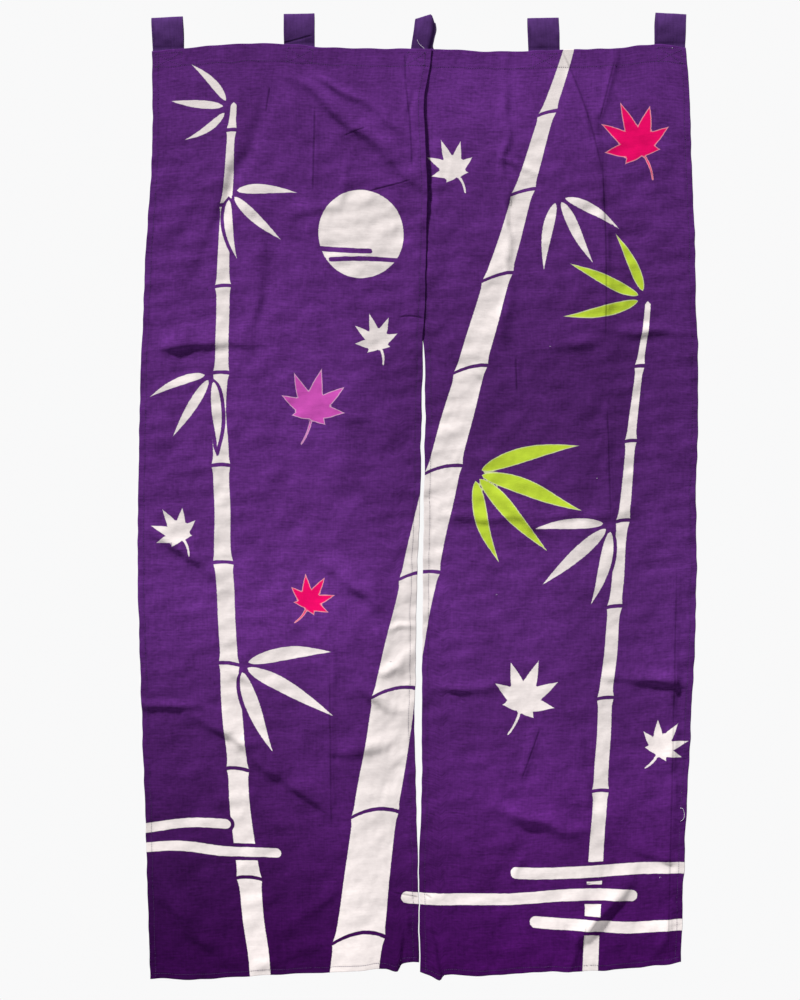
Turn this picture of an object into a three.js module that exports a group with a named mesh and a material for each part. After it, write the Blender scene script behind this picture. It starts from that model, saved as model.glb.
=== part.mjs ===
// A noren, the split doorway curtain of Japan: two cotton panels lapped and sewn together down their top third,
// open as a slit below that, and five flat cloth loops behind the heading that take a hanging rod.
// Millimetres, +Z up. The front faces -Y. The origin is on the rod's line, inside the middle loop.
import * as THREE from 'three';

// Driving dimensions
const SHEET = 1.2;                 // a panel's cloth, and one wall of a loop
const HEM_EXTRA = 0.8;             // how much thicker the turned hems are, all of it on the back
const GAP = 0.3;                   // clearance between pieces that are sewn together
const HEADING_HEM = 29;            // height of the hem along the top
const SIDE_HEM = 11;               // width of the hems down both sides of a panel
const FOOT_HEM = 10;               // height of the hem along the bottom
const LAP_LIFT = 2.6;              // how far the left panel's edge stands in front of the right one's in the seam
const LAP_REACH = 40;              // how far in from that edge the cloth takes to fall back to its plane
const HOLLOW = { depth: 4, beside: 4, width: 8, top: -84, foot: -330 }; // of the right panel, beside that edge
const SEAM_FOOT = -480;            // height at which the seam ends and the slit begins
const LOOP_LEG = 33;               // how far a loop's sewn ends reach down behind the heading
const LEAF_STEPS = 9;              // points up each side of a loop's section
const LEAF_HIGH = 1.3;             // over 1 puts a loop's widest place above its middle
const LEAF_FULL = 0.85;            // under 1 makes its sides fuller than a sine's
const TURN_RADIUS = 5.5;           // of the bend where a loop's side is folded back
const TURN_BELOW = 26;             // the turn grows from this far below the heading to this far above it
const TURN_ABOVE = 14;
const TURN_STEPS = 16;             // slices across a loop that is turned
const TURN_FROM = 0;               // where that bend begins, right of the loop's middle
const CORNER_RUN = 8;              // the top of a turned loop drops over this width past the bend

// The panels' upright edges, a row for each height. left and right are the curtain's outer edges, inner is the left
// panel's edge at the centre, and lap the right panel's, which runs behind it down to the seam's foot.
const EDGES = [
  { z: -30, left: -416, inner: 22, lap: 10, right: 413 },
  { z: -67, left: -416, inner: 15.5, lap: 4, right: 416 },
  { z: -115, left: -416, inner: 7.5, lap: -4, right: 419 },
  { z: -185, left: -415.5, inner: 9, lap: -2.5, right: 421.5 },
  { z: -260, left: -419.5, inner: 11.5, lap: 0, right: 424 },
  { z: -345, left: -425.5, inner: 10.5, lap: 0, right: 427.5 },
  { z: -432, left: -429, inner: 7.5, lap: -0.5, right: 428.5 },
  { z: -480, left: -431, inner: 5.5, lap: 3, right: 430.5 },
  { z: -510, left: -432.5, inner: 4.8, lap: 7, right: 431.5 },
  { z: -557, left: -434, inner: 3.9, lap: 7.8, right: 432 },
  { z: -640, left: -436, inner: 2.3, lap: 8, right: 431.5 },
  { z: -745, left: -437.5, inner: 0.5, lap: 6.3, right: 429 },
  { z: -868, left: -438, inner: -4.2, lap: 4.7, right: 430 },
  { z: -990, left: -434.5, inner: -6.3, lap: 3.9, right: 426 },
  { z: -1090, left: -431, inner: -8, lap: 2.8, right: 421 },
  { z: -1180, left: -428, inner: -6.4, lap: 3, right: 417 },
  { z: -1245, left: -425.5, inner: -4.4, lap: 1.6, right: 413.5 },
  { z: -1290, left: -424.5, inner: -3, lap: -1.2, right: 411.5 },
  { z: -1350, left: -423, inner: -2.4, lap: -0.8, right: 409 },
  { z: -1490, left: -419, inner: -1, lap: 0.7, right: 405 },
];

// The heading's top edge, which sags between the loops that hold it up
const HEADING = [
  { x: -416, z: -45 },
  { x: -367, z: -41 },
  { x: -320, z: -36.5 },
  { x: -265, z: -33.5 },
  { x: -213, z: -34 },
  { x: -160, z: -38.5 },
  { x: -95, z: -41 },
  { x: -20, z: -42 },
  { x: 30, z: -42.5 },
  { x: 93, z: -45 },
  { x: 150, z: -46 },
  { x: 219, z: -43.5 },
  { x: 275, z: -42 },
  { x: 320, z: -39.5 },
  { x: 365, z: -34.5 },
  { x: 413, z: -39 },
];

// The bottom edges, each with the step where a tuck catches it beside the slit
const LEFT_FOOT = [
  { x: -419, z: -1486 },
  { x: -342, z: -1488 },
  { x: -300, z: -1485.5 },
  { x: -187, z: -1479.5 },
  { x: -112, z: -1475 },
  { x: -54, z: -1471 },
  { x: -35, z: -1476 },
  { x: -28, z: -1465 },
  { x: -1, z: -1463 },
];
const RIGHT_FOOT = [
  { x: 0.7, z: -1476 },
  { x: 18, z: -1483 },
  { x: 31, z: -1489 },
  { x: 38, z: -1482 },
  { x: 93, z: -1483 },
  { x: 187, z: -1476.5 },
  { x: 280, z: -1474 },
  { x: 354, z: -1469.5 },
  { x: 390, z: -1464 },
  { x: 405, z: -1460 },
];

// The main folds. Each is a soft ridge from (x, z) to (toX, toZ), bowed to its left by bow. left and right are how
// wide it slopes on each side, seen going from its start to its end, and rise is how far it stands out to the front.
// A trough has a negative rise.
const FOLDS = [
  { name: 'drag_upper', x: -210, z: -72, toX: -23, toZ: -176, bow: 12, left: 11, right: 11, rise: 2.5 },
  { name: 'drag_lower', x: -218, z: -84, toX: 16, toZ: -285, bow: 18, left: 16, right: 11, rise: 5 },
  { name: 'fall_under_loop', x: -227, z: -114, toX: -334, toZ: -373, bow: -8, left: 14, right: 11, rise: -5 },
  { name: 'fall_inner', x: -222, z: -295, toX: -255, toZ: -507, bow: 0, left: 15, right: 11, rise: -3.5 },
  { name: 'press_left_upper', x: -435, z: -513, toX: -236, toZ: -490, bow: 0, left: 24, right: 11, rise: 5 },
  { name: 'press_right_upper', x: 171, z: -510, toX: 299, toZ: -499, bow: 0, left: 14, right: 11, rise: 3.5 },
  { name: 'press_right_edge', x: 277, z: -482, toX: 435, toZ: -484, bow: 0, left: 11, right: 11, rise: 3 },
  { name: 'hip_left', x: -426, z: -781, toX: -303, toZ: -868, bow: 0, left: 16, right: 11, rise: 4.5 },
  { name: 'hip_by_slit', x: -148, z: -837, toX: -47, toZ: -927, bow: 0, left: 22, right: 11, rise: 6 },
  { name: 'press_left_lower', x: -439, z: -1062, toX: -319, toZ: -1062, bow: 0, left: 11, right: 11, rise: 4 },
  { name: 'long_fall_left', x: -376, z: -1067, toX: -128, toZ: -1249, bow: 12, left: 26, right: 11, rise: 7 },
  { name: 'hollow_left', x: -143, z: -1120, toX: -47, toZ: -1120, bow: -12, left: 14, right: 11, rise: 5 },
  { name: 'crease_left_long', x: -137, z: -1249, toX: -140, toZ: -875, bow: 0, left: 11, right: 11, rise: 2 },
  { name: 'corner_fall_left', x: -426, z: -1340, toX: -303, toZ: -1462, bow: 0, left: 18, right: 11, rise: 5 },
  { name: 'foot_fall_left', x: -288, z: -1466, toX: -132, toZ: -1424, bow: -4, left: 12, right: 11, rise: 3 },
  { name: 'upper_foot_fall_left', x: -210, z: -1404, toX: -117, toZ: -1350, bow: 0, left: 14, right: 11, rise: 4 },
  { name: 'crease_right_upper', x: 140, z: -479, toX: 134, toZ: -47, bow: 0, left: 12, right: 11, rise: 2.5 },
  { name: 'crease_right_long', x: 294, z: -487, toX: 275, toZ: -114, bow: -5, left: 12, right: 11, rise: 3.5 },
  { name: 'drag_fourth_loop', x: 280, z: -222, toX: 221, toZ: -44, bow: 0, left: 11, right: 11, rise: 3 },
  { name: 'drag_by_fourth_loop', x: 280, z: -160, toX: 308, toZ: -40, bow: 0, left: 11, right: 11, rise: 3 },
  { name: 'press_middle', x: 6, z: -773, toX: 303, toZ: -770, bow: 0, left: 12, right: 11, rise: 3 },
  { name: 'hollow_middle', x: 106, z: -725, toX: 205, toZ: -799, bow: -3, left: 14, right: 11, rise: 5 },
  { name: 'press_by_slit', x: 6, z: -1036, toX: 132, toZ: -1028, bow: 0, left: 12, right: 11, rise: 4 },
  { name: 'press_right_lower', x: 288, z: -1017, toX: 426, toZ: -1037, bow: 0, left: 16, right: 11, rise: 5 },
  { name: 'shelf_right', x: 90, z: -1222, toX: 264, toZ: -1253, bow: 0, left: 15, right: 13, rise: 8 },
  { name: 'press_corner_right', x: 327, z: -1297, toX: 423, toZ: -1306, bow: 0, left: 14, right: 11, rise: 5 },
  { name: 'arc_right', x: 323, z: -1319, toX: 257, toZ: -1109, bow: 18, left: 11, right: 16, rise: -2.5 },
  { name: 'corner_fall_right', x: 236, z: -1435, toX: 333, toZ: -1334, bow: 0, left: 14, right: 11, rise: 6 },
  { name: 'foot_crease_right', x: 235, z: -1487, toX: 247, toZ: -1400, bow: 0, left: 11, right: 11, rise: 3 },
  { name: 'edge_fall_right', x: 358, z: -1466, toX: 398, toZ: -1373, bow: 0, left: 11, right: 11, rise: 3 },
  { name: 'side_crease_right', x: 386, z: -1459, toX: 400, toZ: -837, bow: 0, left: 20, right: 16, rise: 3.5 },
  { name: 'shoulder_right', x: 299, z: -93, toX: 386, toZ: -227, bow: 0, left: 14, right: 12, rise: 2.5 },
  { name: 'slit_arc_upper', x: -62, z: -1017, toX: -3, toZ: -984, bow: 0, left: 11, right: 11, rise: 3 },
  { name: 'slit_arc_lower', x: -96, z: -1023, toX: -12, toZ: -1073, bow: -14, left: 12, right: 11, rise: 4 },
];

const FOLD_TAPER = 1.4;            // over 1 makes a fold die away softly at its ends
const FOLD_OVERRUN = 0.12;         // share of its length by which it runs past each end, as it dies away
const LOOP_HOLD = { beside: 48, besideEnd: 74, below: 84, belowEnd: 120 }; // where a loop's legs stop holding it flat

// The slow waves of hanging cloth, which grow from the heading down, between these two depths
const WAVES_FROM = 90;
const WAVES_FULL = 700;
const WAVES = [
  { length: 310, phase: 0.6, depth: 3.2 },
  { length: 173, phase: 2.1, depth: 1.4 },
];

// A tuck beside the foot of the slit. Its line runs from (x, z) to (footX, footZ), and what lies between it and the
// slit is moved by shift, forward if negative.
const LEFT_TUCK = { x: -20, z: -1380, footX: -32, footZ: -1476, shift: 4.5 };
const RIGHT_TUCK = { x: 12, z: -1372, footX: 34, footZ: -1488, shift: -4.5 };
const TUCK_ROLL = 5;               // half the width of the turn along a tuck

// The loops, left to right. x and width are at the heading, depth is the outside depth of the empty loop at its
// widest, top is the height of the loop's top fold, drift is how far the top leans to the right, and tilt how much
// higher its right corner is. turned is how far a loop's right side is folded back behind it, in degrees, and drop
// how far the top of that side hangs down.
const LOOPS = [
  { name: 'loop_1', x: -391, width: 49, depth: 16, heading: -43, top: 7.8, drift: -2, tilt: 2.6 },
  { name: 'loop_2', x: -187.5, width: 48, depth: 16, heading: -36, top: 13.2, drift: -0.5, tilt: 1 },
  { name: 'loop_3', x: 9.8, width: 48, depth: 10, heading: -42, top: 12.4, drift: 7, tilt: 14.6, turned: 84, drop: 16 },
  { name: 'loop_4', x: 193, width: 49, depth: 16, heading: -44, top: 6.7, drift: -1.5, tilt: 0.8 },
  { name: 'loop_5', x: 388.5, width: 48, depth: 16, heading: -37, top: 13.6, drift: 1.5, tilt: -2.6 },
];

const DYED_PURPLE = 0x57297a;
const LOOP_PURPLE = 0x4c2f63;
const panelCloth = new THREE.MeshStandardMaterial({ color: DYED_PURPLE, roughness: 0.9, metalness: 0 });
const loopCloth = new THREE.MeshStandardMaterial({ color: LOOP_PURPLE, roughness: 0.92, metalness: 0 });

// Where the panels lie: their front faces are this far in front of the rod's line, so that the loops' sewn legs,
// two walls thick, clear the heading's hem behind them.
const PANEL_FRONT = -(SHEET + GAP + HEM_EXTRA + SHEET);

const { clamp, smoothstep, lerp, degToRad } = THREE.MathUtils;

// The value of one column at a place along another, by a smooth cubic through the table's rows.
function along(table, key, place, column) {
  const rising = table[0][key] < table[table.length - 1][key];
  const rows = rising ? table : [...table].reverse();
  const at = clamp(place, rows[0][key], rows[rows.length - 1][key]);
  const next = Math.max(1, rows.findIndex((row) => row[key] >= at));
  const row = (offset) => rows[clamp(next + offset, 0, rows.length - 1)];
  const [before, low, high, after] = [row(-2), row(-1), row(0), row(1)];
  const span = high[key] - low[key];
  const slope = (a, b) => (a === b ? 0 : ((b[column] - a[column]) / (b[key] - a[key])) * span);
  const t = (at - low[key]) / span;
  const [t2, t3] = [t * t, t * t * t];
  return (2 * t3 - 3 * t2 + 1) * low[column] + (t3 - 2 * t2 + t) * slope(before, high)
    + (3 * t2 - 2 * t3) * high[column] + (t3 - t2) * slope(low, after);
}

// How far one fold carries the cloth forward at a point: a bell across the fold, with a width for each side, which
// tapers off to nothing at both ends.
function foldRise(fold, x, z) {
  const [runX, runZ] = [fold.toX - fold.x, fold.toZ - fold.z];
  const length = Math.hypot(runX, runZ);
  const share = ((x - fold.x) * runX + (z - fold.z) * runZ) / length ** 2;
  const t = (share + FOLD_OVERRUN) / (1 + 2 * FOLD_OVERRUN);
  if (t <= 0 || t >= 1) return 0;
  const arch = 4 * t * (1 - t);
  const leftOf = ((z - fold.z) * runX - (x - fold.x) * runZ) / length - fold.bow * arch;
  const wide = leftOf > 0 ? fold.left : fold.right;
  return fold.rise * arch ** FOLD_TAPER * Math.exp(-((leftOf / wide) ** 2));
}

// 0 where a loop's sewn legs hold the cloth flat behind them, rising to 1 away from them.
function freeOfLoops(x, z) {
  const beside = Math.min(...LOOPS.map((loop) => Math.abs(x - loop.x)));
  return 1 - (1 - smoothstep(beside, LOOP_HOLD.beside, LOOP_HOLD.besideEnd))
    * (1 - smoothstep(-z, LOOP_HOLD.below, LOOP_HOLD.belowEnd));
}

// How far back the cloth lies behind the panels' plane at a point, from its folds and its slow waves.
function clothDepth(x, z) {
  const sway = (wave) => wave.depth * Math.sin((2 * Math.PI * x) / wave.length + wave.phase);
  const waves = WAVES.reduce((sum, wave) => sum + sway(wave), 0) * smoothstep(-z, WAVES_FROM, WAVES_FULL);
  const folds = FOLDS.reduce((sum, fold) => sum + foldRise(fold, x, z), 0) * freeOfLoops(x, z);
  return waves - folds;
}

// The shift of the strip between a tuck and the slit. side is 1 where that strip is to the right of the tuck.
function tuckShift(tuck, side, x, z) {
  const grown = smoothstep(-z, -tuck.z, -tuck.footZ);
  const lineX = lerp(tuck.x, tuck.footX, (z - tuck.z) / (tuck.footZ - tuck.z));
  return tuck.shift * grown * smoothstep(side * (x - lineX), -TUCK_ROLL, TUCK_ROLL);
}

// The lift that carries the left panel's edge over the right one's, down the seam.
function lapLift(x, z) {
  const fromEdge = along(EDGES, 'z', z, 'inner') - x;
  return LAP_LIFT * smoothstep(z, SEAM_FOOT - 60, SEAM_FOOT - 10) * (1 - smoothstep(fromEdge, SIDE_HEM, LAP_REACH));
}

// The hollow of the right panel beside that edge.
function seamHollow(x, z) {
  const beside = x - along(EDGES, 'z', z, 'inner') - HOLLOW.beside;
  const down = Math.sin(Math.PI * clamp((HOLLOW.top - z) / (HOLLOW.top - HOLLOW.foot), 0, 1));
  return HOLLOW.depth * down * Math.exp(-((beside / HOLLOW.width) ** 2));
}

// A closed sheet over a grid of points. Columns run left to right and rows top to bottom, and cloth(c, r) gives a grid
// point on the front face with the thickness behind it.
function sheetGeometry(columns, rows, cloth) {
  const positions = [];
  const points = columns.flatMap((c) => rows.map((r) => cloth(c, r)));
  points.forEach((p) => positions.push(p.x, p.y, p.z));
  points.forEach((p) => positions.push(p.x, p.y + p.thick, p.z));
  const front = (i, j) => i * rows.length + j;
  const back = (i, j) => points.length + front(i, j);
  const [lastColumn, lastRow] = [columns.length - 1, rows.length - 1];
  const faces = [];
  for (let i = 0; i < lastColumn; i += 1) {
    for (let j = 0; j < lastRow; j += 1) {
      faces.push(front(i, j), front(i, j + 1), front(i + 1, j + 1));
      faces.push(front(i, j), front(i + 1, j + 1), front(i + 1, j));
      faces.push(back(i, j), back(i + 1, j + 1), back(i, j + 1));
      faces.push(back(i, j), back(i + 1, j), back(i + 1, j + 1));
    }
  }
  const wall = (i, j, nextI, nextJ) => {
    const [a, b, c, d] = [front(i, j), front(nextI, nextJ), back(nextI, nextJ), back(i, j)];
    faces.push(b, a, d, b, d, c);
  };
  for (let i = 0; i < lastColumn; i += 1) {
    wall(i + 1, 0, i, 0);
    wall(i, lastRow, i + 1, lastRow);
  }
  for (let j = 0; j < lastRow; j += 1) {
    wall(0, j, 0, j + 1);
    wall(lastColumn, j + 1, lastColumn, j);
  }
  const geometry = new THREE.BufferGeometry();
  geometry.setAttribute('position', new THREE.Float32BufferAttribute(positions, 3));
  geometry.setIndex(faces);
  return geometry;
}

// Stations along a length: the close ones at each end, and even steps of about step between them.
function stations(length, nearStart, nearEnd, step) {
  const from = nearStart[nearStart.length - 1];
  const to = length - nearEnd[nearEnd.length - 1];
  const count = Math.round((to - from) / step);
  const between = Array.from({ length: count - 1 }, (_, k) => lerp(from, to, (k + 1) / count));
  return [...nearStart, ...between, ...nearEnd.map((d) => length - d).reverse()];
}

// The nominal grid of a panel, with close lines at its hems, its foot and the edge beside the slit
const PANEL_WIDTH = 430;
const PANEL_DROP = 1438;
const HEM_STEP = 2.5;              // the hem's thickness runs out over this width
const HEADING_LEVEL = -42;         // about where the two ends of the grid lie
const FOOT_LEVEL = -1480;
const COLUMN_STEP = 22.5;
const ROW_STEP = 29;
const OUTER_COLUMNS = [0, SIDE_HEM, SIDE_HEM + HEM_STEP];
const INNER_COLUMNS = [0, SIDE_HEM, SIDE_HEM + HEM_STEP, 20, 27, 34, 43, 58];
const HEADING_ROWS = [0, 14, HEADING_HEM, HEADING_HEM + HEM_STEP, 41, 60];
const FOOT_ROWS = [0, FOOT_HEM, FOOT_HEM + HEM_STEP, 32, 54, 78, 104];
const ROWS = stations(PANEL_DROP, HEADING_ROWS, FOOT_ROWS, ROW_STEP);

// A panel between two columns of EDGES, down to its table of the foot. Its grid is laid out on the nominal size and
// stretched to the edges. shape(x, z) is how far back the panel's own lap or tuck moves it.
function panel(name, leftEdge, rightEdge, foot, columns, shape) {
  const cloth = (fromLeft, fromTop) => {
    const [u, v] = [fromLeft / PANEL_WIDTH, fromTop / PANEL_DROP];
    const across = (z) => lerp(along(EDGES, 'z', z, leftEdge), along(EDGES, 'z', z, rightEdge), u);
    const top = along(HEADING, 'x', across(HEADING_LEVEL), 'z');
    const bottom = along(foot, 'x', across(FOOT_LEVEL), 'z');
    const z = lerp(top, bottom, v);
    const x = across(z);
    const fromHem = Math.min(fromLeft, PANEL_WIDTH - fromLeft) - SIDE_HEM;
    const fromHeading = fromTop - HEADING_HEM;
    const fromFoot = PANEL_DROP - fromTop - FOOT_HEM;
    const hemmed = Math.min(fromHem, fromHeading, fromFoot) < HEM_STEP / 2;
    return { x, y: PANEL_FRONT + clothDepth(x, z) + shape(x, z), z, thick: SHEET + (hemmed ? HEM_EXTRA : 0) };
  };
  const mesh = new THREE.Mesh(sheetGeometry(columns, ROWS, cloth), panelCloth);
  mesh.name = name;
  return mesh;
}

// A loop's section in the YZ plane: a hollow leaf above the heading, and its two walls sewn together below.
function loopSection(loop) {
  const base = loop.heading + 3;
  const side = (wall, low, high) => Array.from({ length: LEAF_STEPS + 1 }, (_, k) => {
    const t = k / LEAF_STEPS;
    const bulge = Math.sin(Math.PI * t ** LEAF_HIGH) ** LEAF_FULL;
    return new THREE.Vector2(wall + (loop.depth / 2 - SHEET) * bulge, lerp(low, high, t));
  });
  const mirrored = (points) => points.map((p) => new THREE.Vector2(-p.x, p.y)).reverse();
  const outerSide = side(SHEET, base, loop.top);
  const innerSide = side(0, base + SHEET, loop.top - SHEET).slice(1, -1);
  const legFoot = loop.heading - LOOP_LEG;
  const outline = new THREE.Shape([
    new THREE.Vector2(-SHEET, legFoot),
    new THREE.Vector2(SHEET, legFoot),
    ...outerSide,
    ...mirrored(outerSide),
  ]);
  const bottomPoint = new THREE.Vector2(0, base + SHEET);
  const topPoint = new THREE.Vector2(0, loop.top - SHEET);
  outline.holes.push(new THREE.Path([bottomPoint, ...innerSide, topPoint, ...mirrored(innerSide)]));
  return outline;
}

// Turns the right side of a loop back behind it: past TURN_FROM the cloth runs round an upright cylinder of
// TURN_RADIUS, and past the turn it runs on straight.
function turnedBack(across, depth, degrees) {
  const past = across - TURN_FROM;
  const angle = clamp(past / TURN_RADIUS, 0, degToRad(degrees));
  if (past <= 0 || angle === 0) return { across, depth };
  const straight = Math.max(0, past - TURN_RADIUS * angle);
  const reach = TURN_RADIUS - depth;
  return {
    across: TURN_FROM + reach * Math.sin(angle) + straight * Math.cos(angle),
    depth: TURN_RADIUS - reach * Math.cos(angle) + straight * Math.sin(angle),
  };
}

// A loop: its section carried along its width, then leaned, tilted and, for the middle one, turned back.
function loopMesh(loop) {
  const { turned = 0, drop = 0 } = loop;
  const steps = turned ? TURN_STEPS : 1;
  const geometry = new THREE.ExtrudeGeometry(loopSection(loop), { depth: loop.width, steps, bevelEnabled: false });
  const place = geometry.getAttribute('position');
  for (let k = 0; k < place.count; k += 1) {
    const [depth, height, flat] = [place.getX(k), place.getY(k), place.getZ(k) - loop.width / 2];
    const above = clamp((height - loop.heading) / (loop.top - loop.heading), 0, 1);
    const turn = turned * smoothstep(height, loop.heading - TURN_BELOW, loop.heading + TURN_ABOVE);
    const bent = turnedBack(flat, depth, turn);
    const dropped = drop * smoothstep(flat, TURN_FROM, TURN_FROM + CORNER_RUN);
    place.setXYZ(
      k,
      loop.x + bent.across + loop.drift * above,
      bent.depth,
      height + above * ((loop.tilt * flat) / loop.width - dropped),
    );
  }
  const mesh = new THREE.Mesh(geometry, loopCloth);
  mesh.name = loop.name;
  return mesh;
}

const noren = new THREE.Group();
noren.add(panel(
  'panel_left', 'left', 'inner', LEFT_FOOT,
  stations(PANEL_WIDTH, OUTER_COLUMNS, INNER_COLUMNS, COLUMN_STEP),
  (x, z) => tuckShift(LEFT_TUCK, 1, x, z) - lapLift(x, z),
));
noren.add(panel(
  'panel_right', 'lap', 'right', RIGHT_FOOT,
  stations(PANEL_WIDTH, INNER_COLUMNS, OUTER_COLUMNS, COLUMN_STEP),
  (x, z) => tuckShift(RIGHT_TUCK, -1, x, z) + seamHollow(x, z),
));
LOOPS.forEach((loop) => noren.add(loopMesh(loop)));

export default noren;
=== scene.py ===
"""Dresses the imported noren: its two printed cotton panels, its five rod loops and all their sewing.

The frame is the part's own: +Z up, the front faces -Y and the origin is on the rod's line, inside the middle
loop. The tables and the shapes are in millimetres, as in the part's source, and new_piece() turns them to
metres.
"""
import math

import bpy
import numpy as np
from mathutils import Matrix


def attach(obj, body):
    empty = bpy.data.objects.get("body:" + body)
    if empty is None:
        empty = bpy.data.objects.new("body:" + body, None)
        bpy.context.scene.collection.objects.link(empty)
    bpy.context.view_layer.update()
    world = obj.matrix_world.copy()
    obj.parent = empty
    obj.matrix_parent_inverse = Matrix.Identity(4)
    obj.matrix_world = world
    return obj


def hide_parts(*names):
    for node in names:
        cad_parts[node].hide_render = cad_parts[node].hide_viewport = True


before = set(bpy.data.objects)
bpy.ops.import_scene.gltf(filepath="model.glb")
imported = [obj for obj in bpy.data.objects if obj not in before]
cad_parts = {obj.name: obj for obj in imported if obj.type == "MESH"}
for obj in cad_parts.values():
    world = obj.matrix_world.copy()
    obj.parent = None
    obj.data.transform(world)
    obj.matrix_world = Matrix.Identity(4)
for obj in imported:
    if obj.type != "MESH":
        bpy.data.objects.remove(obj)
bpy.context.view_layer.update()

MM = 0.001

# The driving dimensions, as in the part's source
SHEET = 1.2
HEM_EXTRA = 0.8
GAP = 0.3
PANEL_FRONT = -(SHEET + GAP + HEM_EXTRA + SHEET)
PANEL_WIDTH = 430
PANEL_DROP = 1438
HEADING_HEM = 29
SIDE_HEM = 11
FOOT_HEM = 10
HEM_STEP = 2.5
HEADING_LEVEL = -42
FOOT_LEVEL = -1480
LAP_LIFT = 2.6
LAP_REACH = 40
SEAM_FOOT = -480
LOOP_LEG = 33
LEAF_HIGH = 1.3
LEAF_FULL = 0.85
TURN_RADIUS = 5.5
TURN_BELOW = 26
TURN_ABOVE = 14
TURN_FROM = 0
CORNER_RUN = 8
HOLLOW_DEEP, HOLLOW_BESIDE, HOLLOW_WIDE, HOLLOW_TOP, HOLLOW_FOOT = 4, 4, 8, -84, -330

# The panels' upright edges: height, left, the left panel's edge at the centre, the right panel's there, right
EDGES = np.array([
    [-30, -416, 22, 10, 413], [-67, -416, 15.5, 4, 416], [-115, -416, 7.5, -4, 419],
    [-185, -415.5, 9, -2.5, 421.5], [-260, -419.5, 11.5, 0, 424], [-345, -425.5, 10.5, 0, 427.5],
    [-432, -429, 7.5, -0.5, 428.5], [-480, -431, 5.5, 3, 430.5], [-510, -432.5, 4.8, 7, 431.5],
    [-557, -434, 3.9, 7.8, 432], [-640, -436, 2.3, 8, 431.5], [-745, -437.5, 0.5, 6.3, 429],
    [-868, -438, -4.2, 4.7, 430], [-990, -434.5, -6.3, 3.9, 426], [-1090, -431, -8, 2.8, 421],
    [-1180, -428, -6.4, 3, 417], [-1245, -425.5, -4.4, 1.6, 413.5], [-1290, -424.5, -3, -1.2, 411.5],
    [-1350, -423, -2.4, -0.8, 409], [-1490, -419, -1, 0.7, 405],
])
LEFT, INNER, LAP, RIGHT = 1, 2, 3, 4

# The heading's top edge and the two bottom edges: place across, height
HEADING = np.array([
    [-416, -45], [-367, -41], [-320, -36.5], [-265, -33.5], [-213, -34], [-160, -38.5], [-95, -41],
    [-20, -42], [30, -42.5], [93, -45], [150, -46], [219, -43.5], [275, -42], [320, -39.5], [365, -34.5],
    [413, -39],
])
LEFT_FOOT = np.array([
    [-419, -1486], [-342, -1488], [-300, -1485.5], [-187, -1479.5], [-112, -1475], [-54, -1471], [-35, -1476],
    [-28, -1465], [-1, -1463],
])
RIGHT_FOOT = np.array([
    [0.7, -1476], [18, -1483], [31, -1489], [38, -1482], [93, -1483], [187, -1476.5], [280, -1474],
    [354, -1469.5], [390, -1464], [405, -1460],
])

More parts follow.
